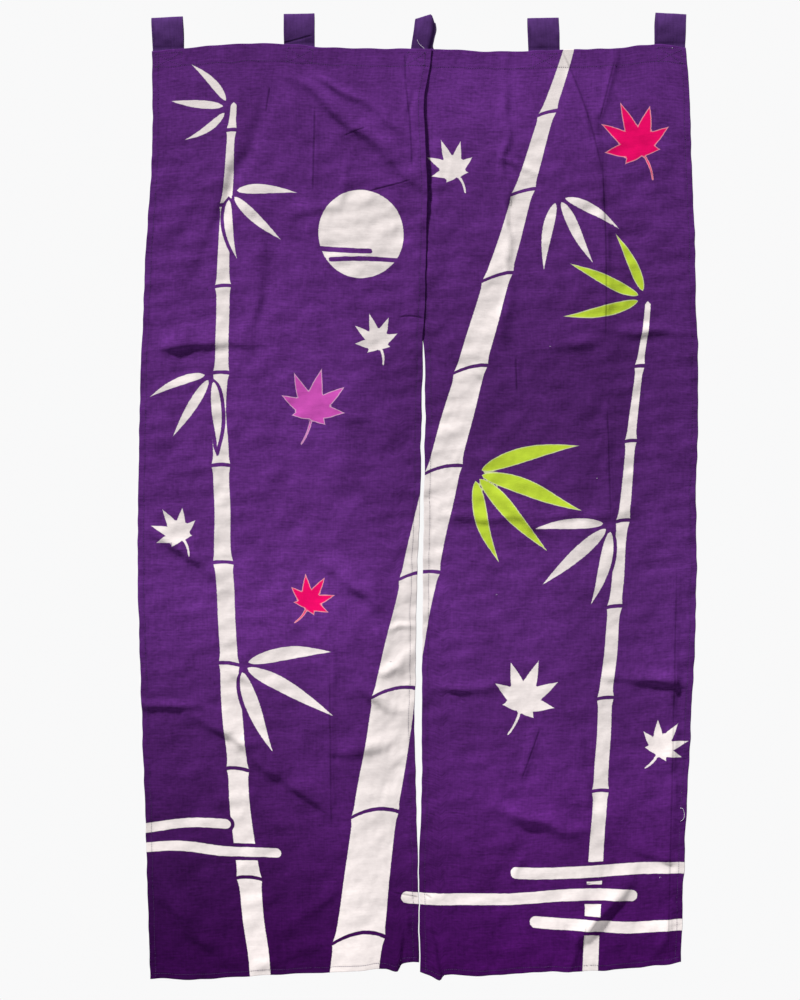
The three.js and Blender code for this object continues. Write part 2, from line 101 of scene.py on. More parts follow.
# The folds, all that the cloth shows. Each runs from one point to another, bowed to its left. A row gives
# x, z, to x, to z, bow, the widths to its left and right, and how far it stands out (negative: a trough).
FOLDS = np.array([
    # drags from the loops and the seam
    [-210, -72, -23, -176, 12, 8, 5, 3.2], [-218, -84, 16, -285, 18, 15, 8, 6],
    [-227, -114, -334, -373, -8, 14, 9, -5], [-222, -295, -255, -507, 0, 15, 8, -3.5],
    [-213, -106, -183, -187, 0, 8, 6, 2], [280, -222, 221, -44, 0, 9, 3.5, 4.6],
    [280, -160, 308, -40, 0, 8, 4, 4], [299, -93, 386, -227, 0, 14, 12, 2.5],
    [-216, -292, -124, -286, -3, 8, 5, 2], [-128, -289, -104, -202, 0, 8, 5, 2],
    [129, -216, 182, -227, 0, 5, 5, 2],
    # level creases, where it was folded for packing
    [-435, -513, -236, -490, 0, 22, 7, 5], [171, -510, 299, -499, 0, 14, 7, 3.5],
    [277, -482, 435, -484, 0, 8, 5, 3], [-439, -1062, -319, -1062, 0, 7, 6, 4.6],
    [-143, -1120, -47, -1120, -12, 14, 7, 5], [6, -773, 303, -770, 0, 12, 5, 3],
    [6, -1036, 132, -1028, 0, 12, 7, 4], [288, -1017, 426, -1037, 0, 16, 6, 5],
    [327, -1297, 423, -1306, 0, 14, 6, 5], [-54, -952, -3, -942, 0, 8, 5, 3],
    [-124, -620, -53, -611, 0, 10, 8, 3], [211, -1208, 267, -1214, 0, 6, 5, 2],
    # upright creases
    [-137, -1249, -140, -875, 0, 10, 4, 2], [140, -479, 134, -47, 0, 9, 4, 3.8],
    [289, -487, 271, -114, -4, 12, 4.5, 3.8], [386, -1459, 400, -837, 0, 16, 6, 3.5],
    [235, -1487, 247, -1400, 0, 8, 4, 3], [297, -768, 292, -606, 0, 8, 4, 2],
    [-166, -264, -163, -137, 0, 5, 2.5, 2.2], [151, -575, 149, -522, 0, 4, 3, 1.5],
    # falls of the hanging cloth
    [-426, -781, -303, -868, 0, 16, 7.5, 5.2], [-148, -837, -47, -927, 0, 22, 9, 6],
    [-376, -1067, -128, -1249, 12, 26, 8, 8], [-426, -1340, -303, -1462, 0, 18, 9, 6],
    [-288, -1466, -132, -1424, -4, 12, 8, 3], [-210, -1404, -117, -1350, 0, 14, 8, 4],
    [106, -725, 205, -799, -3, 14, 8, 6], [90, -1222, 264, -1253, 0, 15, 12, 9],
    [323, -1319, 257, -1109, 18, 5, 16, -2.5], [236, -1435, 333, -1334, 0, 14, 7, 7],
    [358, -1466, 398, -1373, 0, 10, 7, 3], [-62, -1017, -3, -984, 0, 10, 6, 3],
    [-96, -1023, -12, -1073, -14, 12, 6, 4], [-308, -973, -257, -1036, 0, 12, 8, 3],
    [112, -513, 140, -451, 0, 8, 8, 3], [54, -494, 112, -560, 0, 6, 4, 1.5],
    [159, -1176, 187, -1098, 0, 8, 6, 3], [137, -1354, 165, -1284, 0, 7, 5, 2.5],
    # small pleats beside the foot of the slit
    [-19, -1370, -16, -1420, 0, 4, 3, 1.4], [-40, -1353, -12, -1362, 0, 6, 4, 1.6],
    [8, -1356, 19, -1362, 0, 5, 4, 1.4],
    # short creases near the heading, and the one inside the seam
    [-117, -177, -84, -165, 0, 4, 3, 1.4], [-79, -264, -16, -247, 0, 5, 3, 1.7],
    [-233, -103, -239, -140, 0, 4, 3, 1.5], [-22, -52, -12, -225, 3, 5, 3.5, -1.5],
])
FOLD_TAPER = 1.4
FOLD_OVERRUN = 0.12
FOLD_WANDER = 3.0        # how far a fold's line strays from the table's
FOLD_UNEVEN = 0.22       # and how much its rise varies along it
COCKLES = ((0.5, 26, 90, 14), (0.14, 11, 24, 15))       # fine cockles: size, shortest and longest wave, seed
COCKLE_GROWS = (60, 260)

# The slow waves of hanging cloth: length, phase, depth
WAVES = np.array([[310, 0.6, 3.2], [173, 2.1, 1.4]])
WAVES_FROM = 90
WAVES_FULL = 700

# Broad patches of painted light and shade of broad undulations, partly uneven dye: x, z, reach across, reach
# down, change of tone
SHADE_AND_DYE_PATCHES = np.array([
    [130, -590, 210, 190, -0.3], [380, -560, 150, 300, -0.18], [-250, -560, 180, 220, 0.13],
    [-210, -915, 270, 90, 0.3], [-340, -1075, 150, 60, -0.06], [230, -1200, 240, 80, 0.46],
    [230, -1420, 260, 170, 0.53], [-110, -1250, 120, 90, 0.15], [-400, -1400, 110, 150, -0.1],
    [120, -110, 200, 80, 0.26],
])

# Sharp creases, too narrow for the cloth's grid: x, z, to x, to z, bow, depth
CREASES = np.array([
    [-166, -264, -163, -137, 0, 1.1], [284, -225, 289, -490, 3, 0.8], [-117, -177, -84, -165, 0, 0.7],
    [-79, -264, -16, -247, 0, 0.8], [-233, -103, -239, -140, 0, 0.7], [-23, -50, -22, -96, 0, 0.8],
    [-22, -96, -12, -226, 2, 0.9], [221, -46, 282, -226, 6, 0.7], [303, -60, 280, -152, 0, 0.6],
    [151, -575, 149, -522, 0, 1], [-40, -1353, -3, -1361, 0, 0.8], [8, -1356, 19, -1362, 0, 0.7],
    [-31, -459, 5, -461, 2, 0.9], [297, -768, 292, -606, 0, 0.6], [-137, -1249, -140, -1010, 0, 0.7],
    [400, -837, 386, -1459, 0, 0.6], [245, -1487, 258, -1404, 0, 0.7], [159, -1176, 187, -1098, 0, 0.6],
    [-211, -33, -168, -22, 0, 1],
])
CREASE_WIDE = 1.5

PRINT_FAR = 40.0         # beyond this distance in mm the fields of the creases and the print are cut off

# A tuck beside the foot of the slit: x, z, foot x, foot z, shift
LEFT_TUCK = (-20, -1380, -32, -1476, 4.5)
RIGHT_TUCK = (12, -1372, 34, -1488, -4.5)
TUCK_ROLL = 2.6

# How far the lapped edge gapes in front of the right panel, at which height, and over what reach and strip
LAP_GAPE, GAPE_LEVEL, GAPE_REACH, GAPE_STRIP = 3.5, -240, 65, 16
SEAM_FADES = (60, 10)    # how far below SEAM_FOOT the seam's lap starts, and how far below it is full
EDGE_STRAY = 0.45        # how unevenly the cloth was cut and sewn, in its own plane
# Puckers along the stitching: size at the sides, heading and foot, reach of each, and length down and across
PUCKERS, PUCKER_REACH, PUCKER_LENGTHS = (0.3, 0.16, 0.28), (8, 8, 7), (8.2, 9.1)

# Each loop: place across, width, depth, height of the heading there, top, drift, tilt, turn in degrees, drop
LOOPS = np.array([
    [-391, 49, 16, -43, 7.8, -2, 2.6, 0, 0], [-187.5, 48, 16, -36, 13.2, -0.5, 1, 0, 0],
    [9.8, 48, 10, -42, 12.4, 7, 14.6, 84, 16], [193, 49, 16, -44, 6.7, -1.5, 0.8, 0, 0],
    [388.5, 48, 16, -37, 13.6, 1.5, -2.6, 0, 0],
])
LOOP_HOLD = (30, 54, 74, 98)


def smooth(value, low, high):
    """0 below low and 1 above high, with the smooth cubic 3t^2 - 2t^3 between them."""
    t = np.clip((value - low) / (high - low), 0, 1)
    return t * t * (3 - 2 * t)


def along(table, place, column, key=0):
    """One column of a table at a place along another: the smooth cubic through its rows, whose slope at a
    row is that of the line between the rows either side of it."""
    rows = table[np.argsort(table[:, key])]
    keys, values = rows[:, key], rows[:, column]
    at = np.clip(place, keys[0], keys[-1])
    high = np.clip(np.searchsorted(keys, at), 1, len(keys) - 1)
    low = high - 1
    before, after = np.maximum(low - 1, 0), np.minimum(high + 1, len(keys) - 1)
    span = keys[high] - keys[low]
    leave = (values[high] - values[before]) / (keys[high] - keys[before]) * span
    arrive = (values[after] - values[low]) / (keys[after] - keys[low]) * span
    t = (at - keys[low]) / span
    t2, t3 = t * t, t * t * t
    return ((2 * t3 - 3 * t2 + 1) * values[low] + (t3 - 2 * t2 + t) * leave
            + (3 * t2 - 2 * t3) * values[high] + (t3 - t2) * arrive)


def unit(vectors):
    """Vectors brought to length 1."""
    return vectors / np.linalg.norm(vectors, axis=-1, keepdims=True)


def tube(corner):
    """The faces between the rows of a grid of corner numbers, each of which is a closed ring."""
    following = np.roll(corner, -1, axis=1)
    return np.stack([corner[:-1], following[:-1], following[1:], corner[1:]], -1).reshape(-1, 4)


def uneven(x, z, shortest, longest, seed, count=20):
    """A smooth uneven field of about unit size: the sum of count sine waves over the plane, each with a
    seeded direction, phase and length between shortest and longest, over the root of half their number."""
    angle, share, phase = np.random.default_rng(seed).random((3, count))
    total = np.zeros(np.broadcast(x, z).shape)
    for a, s, p in zip(angle * math.pi, share, phase * 2 * math.pi):
        length = shortest * (longest / shortest) ** s
        total += np.sin(2 * math.pi * (x * math.cos(a) + z * math.sin(a)) / length + p)
    return total / math.sqrt(count / 2)


def fold_sum(x, z):
    """The sum of the folds: each is a bell across its line, exp(-(distance / width)^2) with a width for each
    side, times 4t(1 - t) to the power FOLD_TAPER along it, where t runs a little past both of its ends."""
    total = np.zeros(np.broadcast(x, z).shape)
    for from_x, from_z, to_x, to_z, bow, left, right, rise in FOLDS:
        run_x, run_z = to_x - from_x, to_z - from_z
        length = math.hypot(run_x, run_z)
        share = ((x - from_x) * run_x + (z - from_z) * run_z) / length ** 2
        t = np.clip((share + FOLD_OVERRUN) / (1 + 2 * FOLD_OVERRUN), 0, 1)
        arch = 4 * t * (1 - t)
        left_of = ((z - from_z) * run_x - (x - from_x) * run_z) / length - bow * arch
        width = np.where(left_of > 0, left, right)
        total += rise * arch ** FOLD_TAPER * np.exp(-(left_of / width) ** 2)
    return total


def crease_fields(x, z):
    """For points in groups along the last axis: the distance beside the group's nearest crease, and that
    crease's depth, which fades out past its ends."""
    besides, depths = [], []
    for from_x, from_z, to_x, to_z, bow, depth in CREASES:
        run_x, run_z = to_x - from_x, to_z - from_z
        length = math.hypot(run_x, run_z)
        t = ((x - from_x) * run_x + (z - from_z) * run_z) / length ** 2
        inside = np.clip(t, 0, 1)
        left_of = ((z - from_z) * run_x - (x - from_x) * run_z) / length
        besides.append(left_of - 4 * bow * inside * (1 - inside))
        depths.append(depth * (1 - smooth(np.abs(t - 0.5), 0.38, 0.56)))
    besides, depths = np.array(besides), np.array(depths)
    reach = np.where(depths > 0, np.abs(besides), 1e3).mean(axis=-1, keepdims=True)
    pick = np.broadcast_to(reach.argmin(axis=0), x.shape)[None]
    return {"crease": np.clip(np.take_along_axis(besides, pick, axis=0)[0], -PRINT_FAR, PRINT_FAR),
            "crease_depth": np.take_along_axis(depths, pick, axis=0)[0]}


def free_of_loops(x, z):
    """0 where a loop's sewn legs hold the cloth flat, rising to 1 away from them."""
    beside = np.min([np.abs(x - row[0]) for row in LOOPS], axis=0)
    return 1 - (1 - smooth(beside, *LOOP_HOLD[:2])) * (1 - smooth(-z, *LOOP_HOLD[2:]))


def cloth_depth(x, z):
    """How far back the cloth lies behind the panels' plane: its slow waves, less its folds, whose lines
    wander a little and whose rise varies, and a fine cockle that grows down from the heading."""
    waves = sum(depth * np.sin(2 * math.pi * x / length + phase) for length, phase, depth in WAVES)
    waves = waves * smooth(-z, WAVES_FROM, WAVES_FULL)
    stray_x = FOLD_WANDER * uneven(x, z, 60, 220, 11)
    stray_z = FOLD_WANDER * uneven(x, z, 60, 220, 12)
    strength = 1 + FOLD_UNEVEN * uneven(x, z, 50, 160, 13)
    folds = fold_sum(x + stray_x, z + stray_z) * strength * free_of_loops(x, z)
    cockle = sum(size * uneven(x, z, *lengths_and_seed) for size, *lengths_and_seed in COCKLES)
    return waves - folds + cockle * smooth(-z, *COCKLE_GROWS)


def tuck_shift(tuck, side, x, z):
    """The shift of the strip between a tuck's line and the slit, grown from the line's head to its foot."""
    head_x, head_z, foot_x, foot_z, shift = tuck
    grown = smooth(-z, -head_z, -foot_z)
    line_x = head_x + (foot_x - head_x) * (z - head_z) / (foot_z - head_z)
    return shift * grown * smooth(side * (x - line_x), -TUCK_ROLL, TUCK_ROLL)


class Panel:
    """One panel: its columns of EDGES, its bottom edge, its tuck and the side of the tuck that moves, and
    whether its inner edge laps over the other panel in the seam."""

    def __init__(self, name, edges, foot, tuck, tuck_side, laps):
        self.name, self.edges, self.foot = name, edges, foot
        self.tuck, self.tuck_side, self.laps = tuck, tuck_side, laps

    def across(self, z, u):
        """The place across at height z of the share u of the panel's width."""
        left, right = (along(EDGES, z, column) for column in self.edges)
        return left + (right - left) * u

    def ends(self, u):
        """The heights of the panel's top and bottom edges at the share u of its width."""
        top = along(HEADING, self.across(HEADING_LEVEL, u), 1)
        return top, along(self.foot, self.across(FOOT_LEVEL, u), 1)

    def flat(self, x, z):
        """The place on the flat cloth, from its left edge and from its top, of a hanging point."""
        left, right = (along(EDGES, z, column) for column in self.edges)
        u = (x - left) / (right - left)
        top, bottom = self.ends(u)
        return u * PANEL_WIDTH, (z - top) / (bottom - top) * PANEL_DROP

    def pucker(self, from_left, from_top):
        """The gathering of the cloth along its stitching: sine waves of 8 to 9 mm along a hem, which fade as
        exp(-(distance / PUCKER_REACH)^2) from it."""
        from_side = np.minimum(from_left, PANEL_WIDTH - from_left)
        from_hems = (from_side - SIDE_HEM, from_top - HEADING_HEM, PANEL_DROP - from_top - FOOT_HEM)
        side, top, foot = (size * np.exp(-(beside / reach) ** 2)
                           for size, beside, reach in zip(PUCKERS, from_hems, PUCKER_REACH))
        phase = 3 * uneven(from_left, from_top, 40, 130, 21)
        strength = 0.75 + 0.45 * uneven(from_left, from_top, 60, 200, 22)
        down, level = (np.sin(2 * math.pi * place / length + phase)
                       for place, length in zip((from_top, from_left), PUCKER_LENGTHS))
        return strength * (side * down + (top + foot) * level)

    def hang(self, from_left, from_top):
        """Where a point of the flat cloth hangs, on its front face: its outline is stretched to the edges'
        tables, and its depth is the cloth's folds with the panel's own lap, tuck and puckers."""
        u = from_left / PANEL_WIDTH
        top, bottom = self.ends(u)
        z = top + (bottom - top) * from_top / PANEL_DROP
        x = self.across(z, u)
        y = PANEL_FRONT + cloth_depth(x, z) + tuck_shift(self.tuck, self.tuck_side, x, z)
        in_seam = smooth(z, *(SEAM_FOOT - fade for fade in SEAM_FADES))
        beside = x - along(EDGES, z, INNER)
        hidden = 0
        if self.laps:
            gape = LAP_GAPE * np.exp(-((z - GAPE_LEVEL) / GAPE_REACH) ** 2) * smooth(beside, -GAPE_STRIP, 0)
            y = y - LAP_LIFT * in_seam * (1 - smooth(-beside, SIDE_HEM, LAP_REACH)) - gape
        else:
            down = np.sin(math.pi * np.clip((HOLLOW_TOP - z) / (HOLLOW_TOP - HOLLOW_FOOT), 0, 1))
            y = y + HOLLOW_DEEP * down * np.exp(-((beside - HOLLOW_BESIDE) / HOLLOW_WIDE) ** 2)
            hidden = in_seam * (1 - smooth(beside, 0, 12))
        y = y + self.pucker(from_left, from_top) * (1 - hidden)
        return x + EDGE_STRAY * uneven(x, z, 22, 90, 16), y, z + EDGE_STRAY * uneven(x, z, 22, 90, 17)

    def facing(self, from_left, from_top, step=0.8):
        """The point on the front face, with the cloth's directions across and down there and its outward
        normal, from differences over twice the step."""
        here, right, left, below, above = (
            np.stack(self.hang(from_left + across, from_top + down), -1)
            for across, down in ((0, 0), (step, 0), (-step, 0), (0, step), (0, -step)))
        rightward, downward = unit(right - left), unit(below - above)
        return here, rightward, downward, unit(np.cross(downward, rightward))


PANELS = [
    Panel("panel_left", (LEFT, INNER), LEFT_FOOT, LEFT_TUCK, 1, True),
    Panel("panel_right", (LAP, RIGHT), RIGHT_FOOT, RIGHT_TUCK, -1, False),
]


def new_piece(name, points, faces, material, uv=None, fields=None):
    """A piece from its points in mm and its faces, as arrays of three or four corner numbers a face. uv
    gives each point's place on the flat cloth in metres, and fields the values of its named attributes."""
    mesh = bpy.data.meshes.new(name)
    sizes = np.concatenate([np.full(len(part), part.shape[1]) for part in faces])
    corners = np.concatenate([part.ravel() for part in faces]).astype(np.int32)
    mesh.vertices.add(len(points))
    mesh.vertices.foreach_set("co", (points * MM).astype(np.float32).ravel())
    mesh.loops.add(len(corners))
    mesh.loops.foreach_set("vertex_index", corners)
    mesh.polygons.add(len(sizes))
    mesh.polygons.foreach_set("loop_start", (np.cumsum(sizes) - sizes).astype(np.int32))
    mesh.update(calc_edges=True)
    mesh.validate()
    mesh.shade_smooth()
    if uv is not None:
        layer = mesh.uv_layers.new(name="flat")
        layer.uv.foreach_set("vector", uv[corners].astype(np.float32).ravel())
    for field, values in (fields or {}).items():
        attribute = mesh.attributes.new(field, "FLOAT", "POINT" if len(values) == len(points) else "CORNER")
        attribute.data.foreach_set("value", values.astype(np.float32))
    mesh.materials.append(material)
    piece = bpy.data.objects.new(name, mesh)
    bpy.context.scene.collection.objects.link(piece)
    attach(piece, "root")
    return piece


def linear(code):
    """The linear colour, with its alpha, of an sRGB hex code."""
    shares = [int(code[k:k + 2], 16) / 255 for k in (1, 3, 5)]
    return [c / 12.92 if c <= 0.04045 else ((c + 0.055) / 1.055) ** 2.4 for c in shares] + [1.0]


def add(tree, kind, links=None, out=0, **settings):
    """Adds a shader node of a kind and gives its output by name or number, or the node itself where out is
    None. settings are its properties, and links its inputs by name or number, each with another node's
    output or a value."""
    node = tree.nodes.new("ShaderNode" + kind)
    for key, value in settings.items():
        setattr(node, key, value)
    for key, value in (links or {}).items():
        socket = node.inputs[key]
        if isinstance(value, bpy.types.NodeSocket):
            tree.links.new(value, socket)
        else:
            socket.default_value = value
    return node if out is None else node.outputs[out]


def new_material(name):
    """A material with an empty node tree, and that tree."""
    material = bpy.data.materials.new(name)
    material.use_nodes = True
    material.node_tree.nodes.clear()
    return material, material.node_tree


# The inks of the print: a pale one that takes the dye's place, and three colours printed over it
INKS = ("#E4DAD7", "#E40A62", "#BF4CA8", "#B4CB38")
JOINT_HALF = 2.9         # half the width of the line that is left open at a culm's joint
INK_STRAY = 1.2          # how far an ink's edge strays with the yarn, in mm
INK_SOFT = 0.5           # half the width over which it fades
PALE_LINE = (0.2, 1.9)   # a colour starts and is full this far inside its edge, for a paler line round it
COLOUR_AT_EDGE = 0.55    # how full it is in that line
SHOW_THROUGH = 0.5       # how much of the print shows on the back
# How much the slubs, yarns, warp, clumping and mottle change the tone of the panels, the loops and the inks
PANEL_UNEVEN = (0.5, 0.45, 0.3, 0.45, 0.7)
LOOP_UNEVEN = (0.35, 0.2, 0.15, 0.25, 0.4)
INK_UNEVEN = (0.07, 0.05, 0, 0.12, 0.06)
HEM_PAINTED_SHADE = 0.93          # the doubled cloth's tone, a painted shade for less light showing through it
STITCH_GROOVE_SHADE = 0.87       # painted shade in the groove of a line of stitches
STITCH_GROOVE = (0.2, 1.3)       # where its groove starts to rise and where it ends, in mm
CREASE_SHADE = 0.62       # the painted shade in a crease 1 mm deep
THREAD_PITCH = 1.8 * MM  # real threads are 0.6 mm apart, drawn wider to show at the render's scale
# Relief in metres of the weave, slubs, yarns, warp, clumping, what lies off a line of stitches, and a crease
RELIEF = (0.00004, 0.00012, 0.00008, 0.00006, 0.00008, 0.0004, -0.001)
# The attributes that a cloth's points and corners carry
CLOTH_FIELDS = ("back", "doubled", "from_line", "crease", "crease_depth")
PRINT_FIELDS = ("edge_one", "edge_two", "cut", "joint", "ink")


def slub_cotton(name, painted_haze_top, painted_shade_foot, weft_across, inks):
    """Slub cotton, piece-dyed and then printed: a matt plain weave whose weft swells and thins, so that fine
    uneven streaks run along it. Its dye takes a little unevenly, and its colour is painted paler and greyer
    at the top, a painted haze of light, and darker to the foot, painted shade; on the panels, broad patches
    of painted light and shade, partly uneven dye, scale it. weft_across is true where the streaks run across
    the flat cloth, and false where they run down it."""
    material, tree = new_material(name)
    flat = add(tree, "UVMap", uv_map="flat")
    place = add(tree, "TexCoord", out="Object")
    fields = CLOTH_FIELDS + PRINT_FIELDS + ("take",) if inks else CLOTH_FIELDS
    mark = {field: add(tree, "Attribute", out="Fac", attribute_name=field) for field in fields}

    # Slubs, which are thick lengths of yarn 20 to 80 mm long and drawn 3 mm thick to show, the swelling of
    # each yarn, the warp, and the soft clumping of the threads: their sizes in mm along and across the weft
    sizes = [(50, 3), (14, 2.4), (2.6, 30)]
    if not weft_across:
        sizes = [size[::-1] for size in sizes]
    noises = []
    for (across, down), detail in zip(sizes + [(6.2, 4)], (2.0, 1.0, 1.0, 1.0)):
        scaled = add(tree, "VectorMath", {0: flat, 1: (1 / (across * MM), 1 / (down * MM), 1)},
                     operation="MULTIPLY")
        settings = {"Vector": scaled, "Scale": 1.0, "Detail": detail, "Roughness": 0.6}
        noises.append(add(tree, "TexNoise", settings, noise_dimensions="2D"))
    # The dye's uneven mottle
    mottle = add(tree, "TexNoise", {"Vector": place, "Scale": 24.0, "Detail": 3.0})

    # Painted haze of light: paler and greyer down to PAINTED_SHADE_DEEPENS; then painted shade: darker and
    # fuller to the foot
    height = add(tree, "SeparateXYZ", {0: place}, out="Z")
    down = add(tree, "MapRange", {"Value": height, "From Min": PAINTED_SHADE_DEEPENS[0], "From Max": PAINTED_SHADE_DEEPENS[1]},
               interpolation_type="SMOOTHSTEP")
    colour = add(tree, "Mix", {0: down, 6: linear(painted_haze_top), 7: linear(painted_shade_foot)}, out=2, data_type="RGBA")

    # The tone around 1 of the dyed cloth and of the ink on it: each noise, less a half, counts by its weight
    tones = []
    for weights in (PANEL_UNEVEN, INK_UNEVEN) if inks else (LOOP_UNEVEN,):
        tone = 1.0
        for noise, weight in zip((*noises, mottle), weights):
            share = add(tree, "Math", {0: noise, 1: -0.5}, operation="ADD")
            tone = add(tree, "Math", {0: share, 1: weight, 2: tone}, operation="MULTIPLY_ADD")
        tones.append(tone)
    colour = add(tree, "VectorMath", {0: colour, 3: tones[0]}, operation="SCALE")

    if inks:
        # The broad patches' painted light and shade, partly uneven dye, scale the dyed colour
        colour = add(tree, "VectorMath", {0: colour, 3: mark["take"]}, operation="SCALE")
        off_joint = add(tree, "Math", {0: mark["joint"]}, operation="ABSOLUTE")
        distance = add(tree, "Math", {0: JOINT_HALF, 1: off_joint}, operation="SUBTRACT")
        for field in ("edge_one", "edge_two", "cut"):
            distance = add(tree, "Math", {0: distance, 1: mark[field]}, operation="MAXIMUM")
        stray = add(tree, "Math", {0: noises[1], 1: -0.5}, operation="ADD")
        distance = add(tree, "Math", {0: stray, 1: INK_STRAY, 2: distance}, operation="MULTIPLY_ADD")
        cover = add(tree, "MapRange", {"Value": distance, "From Min": INK_SOFT, "From Max": -INK_SOFT},
                    interpolation_type="SMOOTHSTEP")
        full = add(tree, "MapRange", {"Value": distance, "From Min": -PALE_LINE[0], "From Max": -PALE_LINE[1],
                                      "To Min": COLOUR_AT_EDGE}, interpolation_type="SMOOTHSTEP")
        # The ink's number picks the middle of its own step of a ramp with flat steps
        step = 1 / len(inks)
        number = add(tree, "Math", {0: mark["ink"], 1: step, 2: step / 2}, operation="MULTIPLY_ADD")
        ramp = add(tree, "ValToRGB", {0: number}, out=None)
        ramp.color_ramp.interpolation = "CONSTANT"
        for k, code in enumerate(inks):
            stop = ramp.color_ramp.elements[k] if k < 2 else ramp.color_ramp.elements.new(k * step)
            stop.position = k * step
            stop.color = linear(code)
        ink = add(tree, "Mix", {0: full, 6: linear(inks[0]), 7: ramp.outputs[0]}, out=2, data_type="RGBA")
        ink = add(tree, "VectorMath", {0: ink, 3: tones[1]}, operation="SCALE")
        through = add(tree, "MapRange", {"Value": mark["back"], "To Min": 1.0, "To Max": SHOW_THROUGH})
        mask = add(tree, "Math", {0: cover, 1: through}, operation="MULTIPLY")
        colour = add(tree, "Mix", {0: mask, 6: colour, 7: ink}, out=2, data_type="RGBA")

    # Hems: the doubled cloth is painted a little darker, a painted shade, with a groove under each line of
    # stitches that is painted darker too
    doubled = add(tree, "MapRange", {"Value": mark["doubled"], "To Min": 1.0, "To Max": HEM_PAINTED_SHADE})
    # Painted shade along the stitches' groove; the same field gives the groove's relief
    off_line = add(tree, "MapRange", {"Value": mark["from_line"], "From Min": STITCH_GROOVE[0],
                                      "From Max": STITCH_GROOVE[1], "To Min": STITCH_GROOVE_SHADE},
                   interpolation_type="SMOOTHSTEP")
    # A crease: a groove of its own depth, exp(-(distance / CREASE_WIDE)^2), a little darker for its shade
    square = add(tree, "Math", {0: mark["crease"], 1: mark["crease"]}, operation="MULTIPLY")
    steep = add(tree, "Math", {0: square, 1: -1 / CREASE_WIDE ** 2}, operation="MULTIPLY")
    bell = add(tree, "Math", {0: steep}, operation="EXPONENT")
    groove = add(tree, "Math", {0: bell, 1: mark["crease_depth"]}, operation="MULTIPLY")
    painted_crease_shade = add(tree, "MapRange", {"Value": groove, "To Min": 1.0, "To Max": CREASE_SHADE})
    for tone in (doubled, off_line, painted_crease_shade):
        colour = add(tree, "VectorMath", {0: colour, 3: tone}, operation="SCALE")

    threads = add(tree, "VectorMath", {0: flat, 1: (2 * math.pi / THREAD_PITCH,) * 3}, operation="MULTIPLY")
    parts = add(tree, "SeparateXYZ", {0: threads}, out=None)
    sines = [add(tree, "Math", {0: parts.outputs[k]}, operation="SINE") for k in (0, 1)]
    weave = add(tree, "Math", {0: sines[0], 1: sines[1]}, operation="MULTIPLY")
    relief = 0.0
    for source, depth in zip((weave, *noises, off_line, groove), RELIEF):
        relief = add(tree, "Math", {0: source, 1: depth, 2: relief}, operation="MULTIPLY_ADD")
    bump = add(tree, "Bump", {"Height": relief, "Distance": 1.0, "Strength": 0.7})
    surface = add(tree, "BsdfPrincipled", {
        "Base Color": colour, "Normal": bump, "Roughness": 0.95, "Specular IOR Level": 0.03,
        "Sheen Weight": 0.01, "Sheen Roughness": 0.5, "Sheen Tint": linear("#CDB9DD"),
    })
    add(tree, "OutputMaterial", {"Surface": surface}, out=None)
    return material


def sewing_thread(name, code):
    """Spun polyester sewing thread: matt and softly fuzzy, with the slant of its twist every 0.9 mm."""
    material, tree = new_material(name)
    place = add(tree, "TexCoord", out="Object")
    twist = add(tree, "TexWave", {"Vector": place, "Scale": 350.0, "Distortion": 1.5}, out="Fac",
                bands_direction="DIAGONAL")
    bump = add(tree, "Bump", {"Height": twist, "Distance": 0.0001, "Strength": 0.5})
    uneven_dye = add(tree, "TexNoise", {"Vector": place, "Scale": 240.0})
    tone = add(tree, "MapRange", {"Value": uneven_dye, "To Min": 0.75, "To Max": 1.25})
    colour = add(tree, "VectorMath", {0: linear(code)[:3], 3: tone}, operation="SCALE")
    surface = add(tree, "BsdfPrincipled", {
        "Base Color": colour, "Normal": bump, "Roughness": 0.75, "Sheen Weight": 0.15, "Sheen Roughness": 0.4,
    })
    add(tree, "OutputMaterial", {"Surface": surface}, out=None)
    return material


PAINTED_SHADE_DEEPENS = (-0.8, -1.52)     # heights between which the panels' colour grows deeper, painted shade to the foot
# The top colour holds a painted haze of light, and the foot colour painted shade
panel_cotton = slub_cotton("slub_cotton_dyed_and_printed", "#57286F", "#30063F", True, INKS)
loop_cotton = slub_cotton("slub_cotton_dyed_grain_turned", "#4D2E66", "#4D2E66", False, ())
dyed_thread = sewing_thread("spun_thread_dyed", "#43235C")
lint = sewing_thread("loose_undyed_thread", "#D8CEDC")


# The print, a generic design of bamboo, maple leaves, mist and a moon. Each culm: height, place, width.
FRONT_CULM = np.array([
    [-1500, -104, 76], [-1250, -72, 70], [-1000, -30, 62], [-750, 24, 53], [-500, 90, 42], [-300, 150, 31],
    [-150, 196, 22], [-40, 232, 16],
])
LEFT_CULM = np.array([
    [-1500, -246, 34], [-1200, -280, 31], [-900, -302, 27], [-600, -310, 22], [-300, -302, 17],
    [-130, -290, 9],
])
RIGHT_CULM = np.array([
    [-1500, 262, 25], [-1150, 282, 22], [-850, 308, 18], [-600, 334, 13], [-440, 352, 8],
])
FRONT_JOINTS = (-1416, -1222, -1034, -856, -690, -536, -394, -262, -140)
LEFT_JOINTS = (-1330, -1160, -996, -838, -688, -545, -410, -284, -168)
RIGHT_JOINTS = (-1360, -1196, -1048, -908, -775, -650, -535)
# Sprays of bamboo leaves: x, z, direction in degrees, length, number of leaves, angle between them
CREAM_SPRAYS = (
    (-322, -545, 236, 104, 3, 40), (-300, -262, -40, 104, 3, 36), (-280, -996, -34, 142, 3, 38),
    (212, -268, -66, 112, 3, 38), (300, -778, 218, 122, 3, 38), (-292, -134, 176, 84, 3, 38),
)
LIME_SPRAYS = ((82, -700, -30, 165, 4, 32), (352, -432, 150, 118, 3, 40))
